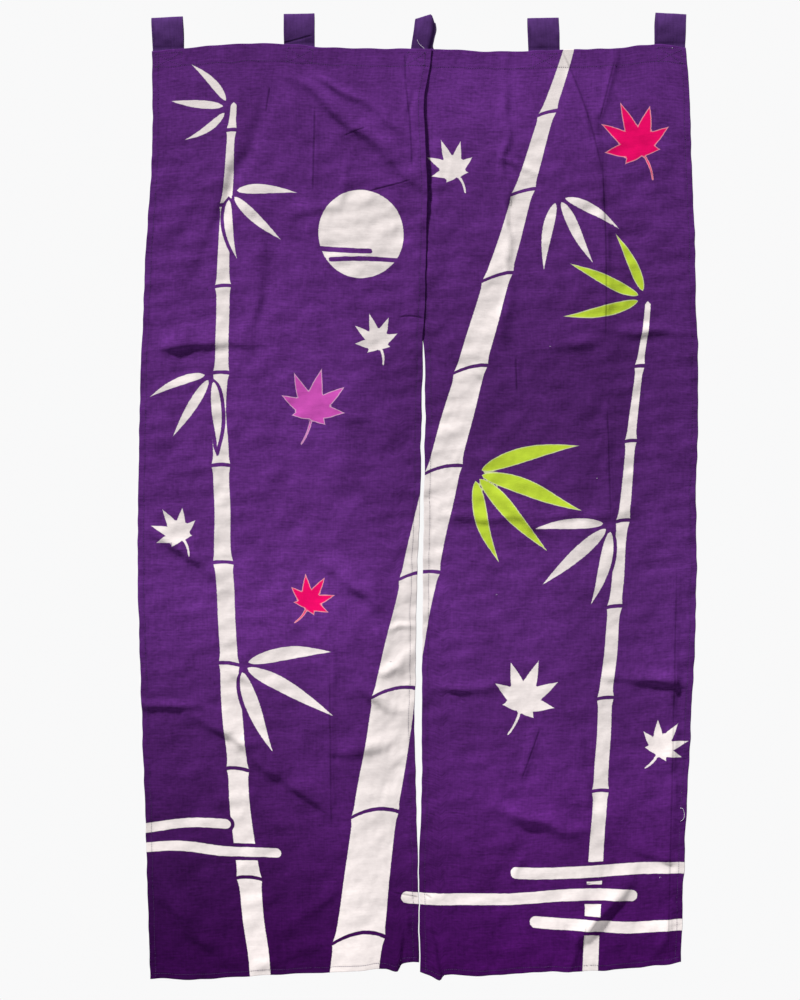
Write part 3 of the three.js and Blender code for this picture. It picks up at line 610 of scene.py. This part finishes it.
# Maple leaves: x, z, reach, turn in degrees
CRIMSON_MAPLES = ((340, -196, 76, 22), (-176, -905, 50, -34))
MAGENTA_MAPLES = ((-170, -606, 72, -16),)
CREAM_MAPLES = (
    (54, -232, 52, 26), (158, -1058, 70, -22), (-376, -800, 48, 30), (372, -1130, 50, -36),
    (-66, -500, 48, 14),
)
MOON = (-92, -330, 68)
MOON_MIST = ((-220, -78, -352, 8), (-140, 10, -374, 7))
# Bands of mist: x, to x, z, thickness
MIST = (
    (150, 430, -1318, 18), (-20, 330, -1360, 18), (180, 430, -1402, 18), (-430, -300, -1250, 15),
    (-430, -222, -1286, 15),
)
OUTLINE = 6              # the bare dye left round a shape that lies over another


def sides(beside, half):
    """A strip's two edges, as signed distances that are both negative inside it."""
    return beside - half, -beside - half


def beside_line(x, z, row, bow):
    """For a line from a point in a direction: the share of the way along it, that share kept to 0..1, and the
    distance to its left, where it bows by bow * 4s(1 - s)."""
    at_x, at_z, heading, length = row
    c, s = math.cos(math.radians(heading)), math.sin(math.radians(heading))
    share = ((x - at_x) * c + (z - at_z) * s) / length
    inside = np.clip(share, 0, 1)
    return share, inside, (z - at_z) * c - (x - at_x) * s - bow * 4 * inside * (1 - inside)


def blade(x, z, row, width, bow=0.0):
    """A pointed leaf, whose half width runs as s^0.6 (1 - s)^1.1, scaled to its widest, and falls below zero
    past its ends, so that its edges cross there."""
    share, s, beside = beside_line(x, z, row, bow)
    half = width / 2 * s ** 0.6 * (1 - s) ** 1.1 / 0.3737
    half -= row[3] * (0.3 * np.maximum(share - 1, 0) + np.maximum(-share, 0))
    return sides(beside, half)


def spray(x, z, row):
    """A fan of bamboo leaves from one joint: the outer ones are shorter, bow outwards and start 15 mm out."""
    at_x, at_z, heading, length, leaves, spread = row
    shapes = []
    for k in range(leaves):
        aside = k - (leaves - 1) / 2
        turn = heading + aside * spread + 5 * math.sin(7 * at_x + k)
        size = length * (1 - 0.09 * abs(aside) + 0.07 * math.sin(3 * at_z + 5 * k))
        start_x = at_x + 15 * math.cos(math.radians(turn))
        start_z = at_z + 15 * math.sin(math.radians(turn))
        shapes.append(blade(x, z, (start_x, start_z, turn, size), 0.175 * size, 5 * aside))
    return shapes


def maple(x, z, row):
    """A maple leaf: seven lobes from its middle, shorter towards its stalk, and the tapering stalk."""
    at_x, at_z, reach, turn = row
    share, s, beside = beside_line(x, z, (at_x, at_z, turn - 90, 0.72 * reach), 4)
    half = 2.3 * (1 - 0.4 * s) - 0.72 * reach * (np.maximum(share - 1, 0) + np.maximum(-share, 0))
    shapes = [sides(beside, half)]
    for side, size in ((0, 1), (38, 0.93), (-38, 0.93), (77, 0.76), (-77, 0.76), (118, 0.5), (-118, 0.5)):
        lobe = turn + 90 + side
        start_x = at_x - 0.16 * reach * math.cos(math.radians(lobe))
        start_z = at_z - 0.16 * reach * math.sin(math.radians(lobe))
        shapes.append(blade(x, z, (start_x, start_z, lobe, 1.16 * size * reach), 0.36 * reach))
    return shapes


def culm(x, z, table, joints):
    """A culm and its nearest joint: its middle line and width are read off its table and it swells by 2.2 mm
    at each joint, whose curved line is 0 where the third field is."""
    lean = (along(table, z + 5, 1) - along(table, z - 5, 1)) / 10
    beside = (x - along(table, z, 1)) / np.sqrt(1 + lean ** 2)
    levels = np.array([z - joint - lean * beside + beside ** 2 / 150 for joint in joints])
    swell = 2.2 * np.exp(-(levels / 9) ** 2).sum(axis=0)
    half = along(table, z, 2) / 2 + swell - np.maximum(z - table[:, 0].max(), 0)
    pick = np.abs(levels.mean(axis=-1)).argmin(axis=0)
    return (*sides(beside, half), np.take_along_axis(levels, pick[None, :, None], axis=0)[0])


def band(x, z, row):
    """A band of mist: round ended, and wavy by 5 mm."""
    from_x, to_x, level, thick = row
    inside = np.clip(x, from_x, to_x)
    return (np.hypot(x - inside, z - level - 5 * np.sin(inside / 62 + level)) - thick / 2,) * 2


def disc(x, z, row):
    """A disc: its row gives x, z and radius."""
    return (np.hypot(x - row[0], z - row[1]) - row[2],) * 2


CROWDED = 3.0            # faces this near to two shapes take the distance to both


class Print:
    """The print over a panel's faces. Each face takes the two edges of its nearest shape as fields over its
    own corners, so that a point or a thin stalk stays sharp inside it, with a third field for what cuts the
    shape and a fourth for a culm's joint. Shapes are laid from the front to the back, and each is cut back
    by OUTLINE round those before it."""

    def __init__(self, x, z):
        self.x, self.z = x, z
        self.over = np.full(x.shape, PRINT_FAR)
        self.score = np.full(len(x), PRINT_FAR)
        self.fields = {name: np.full(x.shape, PRINT_FAR) for name in PRINT_FIELDS}

    def lay(self, shapes, ink, hole=None):
        """Lays a group of shapes in one ink, given as their edges and perhaps their joint, less a hole."""
        one, two = (np.array([shape[k] for shape in shapes]) for k in (0, 1))
        no_joint = np.full(self.x.shape, PRINT_FAR)
        joint = np.array([shape[2] if len(shape) > 2 else no_joint for shape in shapes])
        distance = np.maximum(one, two)
        group = distance.min(axis=0)
        centre = distance.mean(axis=-1)
        best = centre.argmin(axis=0)[None, :, None]
        one, two, joint = (np.take_along_axis(part, best, axis=0)[0] for part in (one, two, joint))
        if len(shapes) > 1:
            crowded = np.partition(centre, 1, axis=0)[1] < CROWDED
            one[crowded] = two[crowded] = group[crowded]
        cut = OUTLINE - self.over
        if hole is not None:
            cut = np.maximum(cut, -hole)
        score = np.max([one, two, cut, JOINT_HALF - np.abs(joint)], axis=0).mean(axis=-1)
        wins = score < self.score
        self.score[wins] = score[wins]
        for name, part in zip(self.fields, (one, two, cut, joint, np.full(self.x.shape, ink))):
            self.fields[name][wins] = part[wins]
        self.over = np.minimum(self.over, group)

    def all(self):
        """Lays every shape of the print."""
        cream, crimson, magenta, lime = range(4)
        x, z = self.x, self.z
        for rows, ink in ((CRIMSON_MAPLES, crimson), (MAGENTA_MAPLES, magenta), (CREAM_MAPLES, cream)):
            for row in rows:
                self.lay(maple(x, z, row), ink)
        for rows, ink in ((LIME_SPRAYS, lime), (CREAM_SPRAYS, cream)):
            for row in rows:
                self.lay(spray(x, z, row), ink)
        for row in MIST:
            self.lay([band(x, z, row)], cream)
        culms = ((FRONT_CULM, FRONT_JOINTS), (RIGHT_CULM, RIGHT_JOINTS), (LEFT_CULM, LEFT_JOINTS))
        for table, joints in culms:
            self.lay([culm(x, z, table, joints)], cream)
        mist = np.min([band(x, z, row)[0] for row in MOON_MIST], axis=0)
        self.lay([disc(x, z, MOON)], cream, mist)
        return {name: np.clip(field, -PRINT_FAR, PRINT_FAR) for name, field in self.fields.items()}


INSET = 1.8              # how far inside a hem's fold its line of stitches runs


def panel_lines():
    """The grid's lines over a panel: close at its edges and hems, 2.5 mm apart beside the slit and under 4 mm
    elsewhere. Gives the distances from the outer edge and from the top."""
    hem = np.array([0.6, 1.2, 2.4, 4.4, 7, SIDE_HEM - INSET, SIDE_HEM, SIDE_HEM + HEM_STEP])
    outer = np.concatenate([hem, [17]])
    inner = np.concatenate([hem, np.arange(16, 60, 2.6)])
    middle = np.linspace(outer[-1], PANEL_WIDTH - inner[-1], 92)[1:-1]
    columns = np.concatenate([outer, middle, PANEL_WIDTH - inner[::-1]])
    heading = np.array([0.6, 1.2, 2.4, 4.5, 8, 12, 16, 20, 24, HEADING_HEM - INSET, HEADING_HEM,
                        HEADING_HEM + HEM_STEP])
    foot = np.array([0.6, 1.2, 2.4, 4.4, 6.2, FOOT_HEM - INSET, FOOT_HEM, FOOT_HEM + HEM_STEP])
    rows = np.concatenate([heading, np.linspace(heading[-1], PANEL_DROP - foot[-1], 376)[1:-1],
                           PANEL_DROP - foot[::-1]])
    return columns, rows


def panel_cloth(panel):
    """A panel's cloth over its grid: the front face as it hangs, the back face a sheet's thickness behind it
    and more at the hems, and between them a round edge through the outline's own line."""
    columns, rows = panel_lines()
    if not panel.laps:
        columns = PANEL_WIDTH - columns[::-1]
    from_left, from_top = np.meshgrid(columns, rows, indexing="ij")
    x, y, z = panel.hang(from_left, from_top)
    from_side = np.minimum(from_left, PANEL_WIDTH - from_left)
    hems = np.array([from_side - SIDE_HEM, from_top - HEADING_HEM, PANEL_DROP - from_top - FOOT_HEM])
    in_hem = hems.min(axis=0)
    from_line = np.abs(hems + INSET).min(axis=0)
    doubled = 1 - smooth(in_hem, 0, HEM_STEP)
    thick = SHEET + HEM_EXTRA * doubled
    front = np.stack([x, y, z], -1).reshape(-1, 3)
    back = np.stack([x, y + thick, z], -1).reshape(-1, 3)
    count = from_left.size
    number = np.arange(count).reshape(from_left.shape)
    border = np.concatenate([number[:-1, 0], number[-1, :-1], number[:0:-1, -1], number[0, :0:-1]])
    outward = np.zeros((len(border), 3))
    outward[:, 0] += np.isin(border, number[-1]) * 1.0 - np.isin(border, number[0])
    outward[:, 2] += np.isin(border, number[:, 0]) * 1.0 - np.isin(border, number[:, -1])
    edge = (front[border] + back[border]) / 2 + outward * 0.6
    points = np.concatenate([front, back, edge])
    a, b, c, d = number[:-1, :-1], number[:-1, 1:], number[1:, 1:], number[1:, :-1]
    grid = np.stack([a, b, c, d], -1).reshape(-1, 4)
    ring = 2 * count + np.arange(len(border))
    following = np.roll(np.arange(len(border)), -1)
    rim_front = np.stack([border, border[following], ring[following], ring], -1)
    rim_back = np.stack([ring, ring[following], border[following] + count, border + count], -1)
    faces = [grid, grid[:, ::-1] + count, rim_front, rim_back]
    flat = np.stack([from_left.ravel(), from_top.ravel()], -1) * MM
    flat = np.concatenate([flat, flat, flat[border]])
    fields = {
        "back": np.concatenate([np.zeros(count), np.ones(count), np.full(len(border), 0.5)]),
        "doubled": np.concatenate([doubled.ravel(), doubled.ravel(), np.ones(len(border))]),
        "from_line": np.concatenate([from_line.ravel(), from_line.ravel(), from_line.ravel()[border]]),
    }
    corners = points[np.concatenate(faces)]
    stray = 1.0 * uneven(corners[..., 0], corners[..., 2], 90, 260, 41)
    marks = Print(corners[..., 0] + stray, corners[..., 2] + stray).all()
    fields.update({name: field.ravel() for name, field in marks.items()})
    # Painted light and shade of the broad undulations, partly uneven dye, from the patches
    patch_shade_and_dye = [change * np.exp(-((points[:, 0] - at_x) / wide) ** 2 - ((points[:, 2] - at_z) / high) ** 2)
               for at_x, at_z, wide, high, change in SHADE_AND_DYE_PATCHES]
    fields["take"] = 1 + np.sum(patch_shade_and_dye, axis=0)
    creases = crease_fields(corners[..., 0], corners[..., 2])
    fields.update({name: field.ravel() for name, field in creases.items()})
    piece = new_piece(f"{panel.name}_cloth", points, faces, panel_cotton, flat, fields)
    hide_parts(panel.name)
    return piece


def turned_back(across, depth, turn):
    """Carries a flat strip round an upright cylinder of TURN_RADIUS past TURN_FROM, through the angle turn,
    and straight on past it."""
    past = np.maximum(across - TURN_FROM, 0)
    angle = np.minimum(past / TURN_RADIUS, turn)
    straight = np.maximum(past - TURN_RADIUS * angle, 0)
    reach = TURN_RADIUS - depth
    bent_across = TURN_FROM + reach * np.sin(angle) + straight * np.cos(angle)
    bent_depth = TURN_RADIUS - reach * np.cos(angle) + straight * np.sin(angle)
    bends = (across > TURN_FROM) & (turn > 0)
    return np.where(bends, bent_across, across), np.where(bends, bent_depth, depth)


LOOP_WALL = 0.58         # half of a loop wall's thickness
LOOP_APART = 0.62        # its middle line, from the middle between the two walls, where they are sewn
FRONT_SHARE, FRONT_FULL = 0.62, 0.6
LOOP_BASE = 3            # where a loop opens, above the heading
LEG_STEPS, WALL_STEPS, FLAT_STEPS = 12, 34, 25
CLOSER_BELOW = 0.9       # the power that sets a wall's points closer together towards its top
LOOP_SEAM = 3            # a line of stitches this far inside each long edge, and one just under the top
LOOP_TOP_SEAM = 2.8
FOLD_ROUND = 0.5         # the radius of its folded long edges
LOOP_STRAY = 0.35        # how far its walls stray


def loop_line(heading, top, deep):
    """The middle line of a loop's strip, from its front leg's foot over the top to its back leg's foot, as
    depth and height. Above the heading the back wall bulges by sin(pi t^LEAF_HIGH)^LEAF_FULL, the front wall
    by FRONT_SHARE of that curve to the power FRONT_FULL, and they meet in a pressed fold."""
    base = heading + LOOP_BASE
    leg = np.linspace(heading - LOOP_LEG, base, LEG_STEPS + 1)[:-1]
    t = np.linspace(0, 1, WALL_STEPS) ** CLOSER_BELOW
    swell = np.sin(math.pi * np.clip(t, 0, 1) ** LEAF_HIGH)
    swell[[0, -1]] = 0
    legs = np.zeros(LEG_STEPS)
    front, back = (LOOP_APART + np.concatenate([legs, (deep / 2 - SHEET) * share * swell ** full])
                   for share, full in ((FRONT_SHARE, FRONT_FULL), (1, LEAF_FULL)))
    height = np.concatenate([leg, base + (top - SHEET / 2 - base) * t])
    return np.concatenate([-front, back[::-1]]), np.concatenate([height, height[::-1]])


def loop_place(row, across, depth, height):
    """Where a point of a flat, upright loop lies: leaned, tilted and, for the middle one, turned back, with
    its top dropped past the bend. A loop's walls also stray by some tenths of a millimetre."""
    x, width, _, heading, top, drift, tilt, turned, drop = row
    above = np.clip((height - heading) / (top - heading), 0, 1)
    turn = math.radians(turned) * smooth(height, heading - TURN_BELOW, heading + TURN_ABOVE)
    stray = uneven(across + x, height + 9 * np.sign(depth), 14, 50, 31)
    depth = depth + LOOP_STRAY * smooth(above, 0, 0.3) * stray
    bent_across, bent_depth = turned_back(across, depth, turn)
    slack = 0.25 * above * np.sin(height / 7 + x)
    rise = tilt * across / width - drop * smooth(across, TURN_FROM, TURN_FROM + CORNER_RUN)
    return x + bent_across + drift * above + slack, bent_depth, height + above * rise


def loop_cloth(number, row):
    """A loop: a flat strip's section, whose two long edges are folded and so are round, carried along its
    middle line. The ends of its legs are closed."""
    width = row[1]
    depth, height = loop_line(row[3], row[4], row[2])
    run = unit(np.stack([np.gradient(depth), np.gradient(height)], -1))
    normal = np.stack([-run[:, 1], run[:, 0]], -1)
    reach = width / 2 - FOLD_ROUND
    seams = [LOOP_SEAM - width / 2, width / 2 - LOOP_SEAM]
    flat_part = np.sort(np.append(np.linspace(-reach, reach, FLAT_STEPS), seams))
    turn = np.radians([60, 20, -20, -60])
    fold = reach + FOLD_ROUND * np.cos(turn)
    across = np.concatenate([flat_part, fold, flat_part[::-1], -fold])
    level = np.ones(len(flat_part))
    lift = np.concatenate([level, np.sin(turn), -level, -np.sin(turn)]) * LOOP_WALL
    spread = np.broadcast_to(across, (len(depth), len(across)))
    x, y, z = loop_place(row, spread, depth[:, None] + normal[:, :1] * lift,
                         height[:, None] + normal[:, 1:] * lift)
    points = np.stack([x, y, z], -1).reshape(-1, 3)
    count = len(across)
    corner = np.arange(len(points)).reshape(len(depth), count)
    half = count // 2
    ends = [np.stack([ring[:half - 1], ring[1:half], ring[::-1][1:half], ring[::-1][:half - 1]], -1)
            for ring in (corner[0], corner[-1])]
    faces = [tube(corner), ends[0][:, ::-1], ends[1]]
    length = np.concatenate([[0], np.cumsum(np.hypot(np.diff(depth), np.diff(height)))])
    down = np.broadcast_to(length[:, None], spread.shape)
    flat = np.stack([spread + width / 2, down], -1).reshape(-1, 2) * MM
    zeros = np.zeros(len(points))
    from_sides = np.abs(np.abs(spread) - width / 2 + LOOP_SEAM)
    from_top = np.abs(height - row[4] + LOOP_TOP_SEAM)[:, None]
    fields = {"back": zeros, "doubled": zeros, "from_line": np.minimum(from_sides, from_top).ravel()}
    creases = crease_fields(points[:, :1], points[:, 2:])
    fields.update({field: values[:, 0] for field, values in creases.items()})
    piece = new_piece(f"loop_{number}_cloth", points, faces, loop_cotton, flat, fields)
    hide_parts(f"loop_{number}")
    return piece, length[-1]


# A stitch: its length and thickness, and the pitch of a row
STITCH = 2.7
STITCH_RADIUS = 0.3
STITCH_PITCH = 3.5
LINE_END = 3             # how far from the cloth's edge a line of stitches ends


def stitches(name, centres, run, outward, material):
    """A row of lockstitches on the cloth: each is a spindle with three square rings between two points,
    arched over the cloth and drawn into it at both ends."""
    # Of the first point, the three rings and the last point: place along the stitch, thickness and arch
    counts = [1, 4, 4, 4, 1]
    station = np.repeat([-1, -0.62, 0, 0.62, 1], counts) * STITCH / 2
    swell = np.repeat([0, 0.85, 1, 0.85, 0], counts) * STITCH_RADIUS
    arch = np.repeat([-0.9, 0, 0.5, 0, -0.9], counts) * STITCH_RADIUS
    quarter = np.radians([0] + [45, 135, 225, 315] * 3 + [0])
    beside = np.cross(run, outward)
    points = (centres[:, None] + run[:, None] * station[:, None]
              + outward[:, None] * (arch + swell * np.sin(quarter))[:, None]
              + beside[:, None] * (swell * np.cos(quarter))[:, None])
    ring = np.array([[0, 1], [1, 2], [2, 3], [3, 0]])
    first = np.concatenate([np.zeros((4, 1), int), 1 + ring[:, ::-1]], axis=1)
    last = np.concatenate([np.full((4, 1), 13), 9 + ring], axis=1)
    side = np.concatenate([ring, ring[:, ::-1] + 4], axis=1)
    start = len(station) * np.arange(len(centres))[:, None, None]
    faces = [(part[:, ::-1] + start).reshape(-1, part.shape[1])
             for part in (first, last, np.concatenate([side + 1, side + 5]))]
    return new_piece(name, points.reshape(-1, 3), faces, material)


def stitch_line(start, end, pitch=STITCH_PITCH):
    """Even places along a line over the flat cloth, half a pitch in from its ends."""
    length = math.hypot(end[0] - start[0], end[1] - start[1])
    count = max(1, round(length / pitch))
    share = (np.arange(count) + 0.5) / count
    return start[0] + (end[0] - start[0]) * share, start[1] + (end[1] - start[1]) * share


def sewn(panel, name, lines, faces=((1, 0), (-1, SHEET + HEM_EXTRA))):
    """Stitches along lines of a panel's flat cloth. faces gives the side of the cloth, 1 for its front, and
    how far behind its front that side lies."""
    centres, runs, outs = [], [], []
    for start, end in lines:
        here, rightward, downward, outward = panel.facing(*stitch_line(start, end))
        length = math.hypot(end[0] - start[0], end[1] - start[1])
        run = (rightward * (end[0] - start[0]) + downward * (end[1] - start[1])) / length
        for face, behind in faces:
            centres.append(here + np.array([0, behind, 0]))
            runs.append(run)
            outs.append(outward * face)
    piece = stitches(f"{panel.name}_{name}", *map(np.concatenate, (centres, runs, outs)), dyed_thread)
    return piece


def hem_lines():
    """The lines of a panel's four hems."""
    side, top, foot = SIDE_HEM - INSET, HEADING_HEM - INSET, PANEL_DROP - FOOT_HEM + INSET
    near, right, below = LINE_END, PANEL_WIDTH - side, PANEL_DROP - LINE_END
    return [((near, top), (PANEL_WIDTH - near, top)), ((near, foot), (PANEL_WIDTH - near, foot)),
            ((side, near), (side, below)), ((right, near), (right, below))]


# The box of stitches that holds a loop: how far inside the loop's sides and under the heading's edge it
# runs, how far below the heading its middle is, and where it runs across on the loop that is folded back
BOX_INSIDE, BOX_TOP, BOX_MIDDLE = 4, 5, 15
TURNED_LOOP, TURNED_BOX = 3, (-21, 7)


def loop_lines(panel, number):
    """A box with a cross through it, which holds a loop's legs behind the heading. Its foot is the heading's
    own line of stitches."""
    x, width = LOOPS[number - 1][:2]
    half = width / 2 - BOX_INSIDE
    ends = TURNED_BOX if number == TURNED_LOOP else (x - half, x + half)
    (left, _), (right, _) = (panel.flat(end, HEADING_LEVEL - BOX_MIDDLE) for end in ends)
    top, foot = BOX_TOP, HEADING_HEM - INSET
    return [((left, top), (right, top)), ((left, top), (left, foot)), ((right, top), (right, foot)),
            ((left, top), (right, foot)), ((left, foot), (right, top))]


FIBRE_LIFT = 0.15        # a fibre's middle line, in front of the cloth


def fibres(name, spots, material):
    """Short fibres and nubs caught on the cloth's front. A spot is panel number, x, z and turn in degrees."""
    centres, runs, outs = [], [], []
    for number, x, z, turn in spots:
        panel = PANELS[number]
        here, rightward, downward, outward = panel.facing(*panel.flat(np.array([x]), np.array([z])))
        centres.append(here + outward * FIBRE_LIFT)
        runs.append(rightward * math.cos(math.radians(turn)) - downward * math.sin(math.radians(turn)))
        outs.append(outward)
    piece = stitches(name, *map(np.concatenate, (centres, runs, outs)), material)
    return piece


# A loose end of thread
THREAD_RADIUS, THREAD_STEPS, THREAD_SIDES = 0.28, 31, 6


def thread_end(name, path, material):
    """A loose end of thread: a round tube along a smooth path through its points, closed at both ends."""
    table = np.column_stack([np.linspace(0, 1, len(path)), path])
    share = np.linspace(0, 1, THREAD_STEPS)
    middle = np.stack([along(table, share, k) for k in (1, 2, 3)], -1)
    run = unit(np.gradient(middle, axis=0))
    aside = unit(np.cross(run, [0.1, 1, 0.2]))
    other = np.cross(run, aside)
    turn = np.linspace(0, 2 * math.pi, THREAD_SIDES + 1)[:-1]
    ring = aside[:, None] * np.cos(turn)[:, None] + other[:, None] * np.sin(turn)[:, None]
    points = (middle[:, None] + THREAD_RADIUS * ring).reshape(-1, 3)
    corner = np.arange(len(points)).reshape(THREAD_STEPS, THREAD_SIDES)
    cap = np.array([[0, 3, 2, 1], [0, 5, 4, 3]])
    piece = new_piece(name, points, [tube(corner), cap, cap[:, ::-1] + corner[-1, 0]], material)
    return piece


# Where the two loose ends lie: points of x, y, z, and of x, z on the right panel's front
LOOSE_END = np.array([(8, -4.1, -45), (5.5, -4.4, -40.5), (2, -4.2, -37.5), (-1.5, -4.2, -34),
                      (-4, -4.9, -28.5)])
CURL = ((403, -1222), (407.5, -1223), (410, -1230), (409, -1238), (404.5, -1242))
# Fibres and nubs: the panel's number, x, z and turn in degrees
PALE_SPOTS = ((0, -291, -243, 20), (1, 202, -504, 160), (1, 274, -709, 15), (0, -297, -1121, 80),
              (1, 373, -1330, 50), (1, 391, -41, 70), (0, -352, -131, 120), (1, 120, -890, 30))
DARK_SPOTS = ((0, -331, -415, 60), (0, -45, -994, 10), (1, 262, -842, 140))

cloths = [panel_cloth(panel) for panel in PANELS]
loops = [loop_cloth(k + 1, row) for k, row in enumerate(LOOPS)]
left, right = PANELS
on_left = [sewn(left, "hem_stitches", hem_lines())]
on_right = [sewn(right, "hem_stitches", hem_lines())]
front_only = ((1, 0),)
boxes = [line for number in (1, 2, 3) for line in loop_lines(left, number)]
on_left.append(sewn(left, "loop_stitches", boxes, front_only))
boxes = [line for number in (4, 5) for line in loop_lines(right, number)]
on_right.append(sewn(right, "loop_stitches", boxes, front_only))
curl = [np.stack(right.hang(*right.flat(x, z))) - (0, 0.5 + 0.4 * (k % 2), 0)
        for k, (x, z) in enumerate(CURL)]
on_left += [fibres("dark_nubs", DARK_SPOTS, dyed_thread), thread_end("loose_thread_end", LOOSE_END, lint)]
on_right += [fibres("pale_fibres", PALE_SPOTS, lint), thread_end("curl_of_lint", np.array(curl), lint)]


# The lights: name, the direction they come from, strength, and how wide each is in degrees
SUNS = (("key_sun", (-0.36, -0.4, 0.84), 5.9, 6), ("back_fill", (0.5, 0.75, 0.45), 1.7, 30))
FILL, FILL_COLOUR = 0.24, (0.93, 0.95, 1.0, 1.0)        # the light from all round
SEEN_GROUND = (0.945, 0.945, 0.948, 1.0)                # the white ground that the camera sees
FLOOR_LEVEL = -1.9
FLOOR_RADII = (0.3, 0.7, 1.2)
FLOOR_SIDES = 64
FLOOR_FADES = (0.35, 1.15)
FLOOR_TONE = (0.78, 0.82)
CAMERA_AWAY = 3.5
FRAME_HIGH = 1.555       # the height in metres that the photo's frame takes in at the curtain
FRAME_CENTRE = (-0.031, -0.743)
SENSOR = 36


def studio():
    """A pale floor that fades out round the curtain, a white surround, one soft sun from above and to the
    left of the camera, and a wide weak one that lights the curtain's back alone."""
    scene = bpy.context.scene
    scene.view_settings.view_transform = "Standard"
    n = FLOOR_SIDES
    angle = np.linspace(0, 2 * math.pi, n + 1)[:-1]
    rings = [np.stack([r * np.cos(angle), r * np.sin(angle), np.full(n, FLOOR_LEVEL)], -1)
             for r in FLOOR_RADII]
    points = np.concatenate([[[0, 0, FLOOR_LEVEL]], *rings])
    mesh = bpy.data.meshes.new("floor")
    faces = [(0, 1 + k, 1 + (k + 1) % n) for k in range(n)]
    faces += [(1 + n * r + k, 1 + n * (r + 1) + k, 1 + n * (r + 1) + (k + 1) % n, 1 + n * r + (k + 1) % n)
              for r in (0, 1) for k in range(n)]
    mesh.from_pydata(points.tolist(), [], faces)
    floor = bpy.data.objects.new("floor", mesh)
    scene.collection.objects.link(floor)
    material, tree = new_material("matt_studio_floor")
    place = add(tree, "TexCoord", out="Object")
    level = add(tree, "VectorMath", {0: place, 1: (1, 1, 0)}, operation="MULTIPLY")
    radius = add(tree, "VectorMath", {0: level}, out="Value", operation="LENGTH")
    fade = add(tree, "MapRange", {"Value": radius, "From Min": FLOOR_FADES[0], "From Max": FLOOR_FADES[1]},
               interpolation_type="SMOOTHSTEP")
    grain = add(tree, "TexNoise", {"Vector": place, "Scale": 30.0})
    tone = add(tree, "MapRange", {"Value": grain, "To Min": FLOOR_TONE[0], "To Max": FLOOR_TONE[1]})
    paint = add(tree, "BsdfPrincipled", {"Base Color": tone, "Roughness": 0.9})
    mixed = add(tree, "MixShader", {0: fade, 1: paint, 2: add(tree, "BsdfTransparent")})
    add(tree, "OutputMaterial", {"Surface": mixed}, out=None)
    mesh.materials.append(material)

    world = bpy.data.worlds.new("white_surround")
    world.use_nodes = True
    tree = world.node_tree
    tree.nodes.clear()
    fill = add(tree, "Background", {"Color": FILL_COLOUR, "Strength": FILL})
    white = add(tree, "Background", {"Color": SEEN_GROUND, "Strength": 1.0})
    mixed = add(tree, "MixShader", {0: add(tree, "LightPath", out="Is Camera Ray"), 1: fill, 2: white})
    add(tree, "OutputWorld", {"Surface": mixed}, out=None)
    scene.world = world

    for name, toward, energy, angle in SUNS:
        sun = bpy.data.objects.new(name, bpy.data.lights.new(name, "SUN"))
        sun.data.energy = energy
        sun.data.angle = math.radians(angle)
        elevation = math.atan2(toward[2], math.hypot(*toward[:2]))
        sun.rotation_euler = (math.pi / 2 - elevation, 0, math.atan2(toward[1], toward[0]) + math.pi / 2)
        scene.collection.objects.link(sun)


def photo_camera():
    """A camera face on to the curtain, whose frame is FRAME_HIGH metres high there."""
    data = bpy.data.cameras.new("photo_camera")
    data.sensor_fit = "VERTICAL"
    data.sensor_height = SENSOR
    data.lens = SENSOR * CAMERA_AWAY / FRAME_HIGH
    camera = bpy.data.objects.new("photo_camera", data)
    camera.location = (FRAME_CENTRE[0], -CAMERA_AWAY, FRAME_CENTRE[1])
    camera.rotation_euler = (math.pi / 2, 0, 0)
    bpy.context.scene.collection.objects.link(camera)
    bpy.context.scene.camera = camera


studio()
photo_camera()
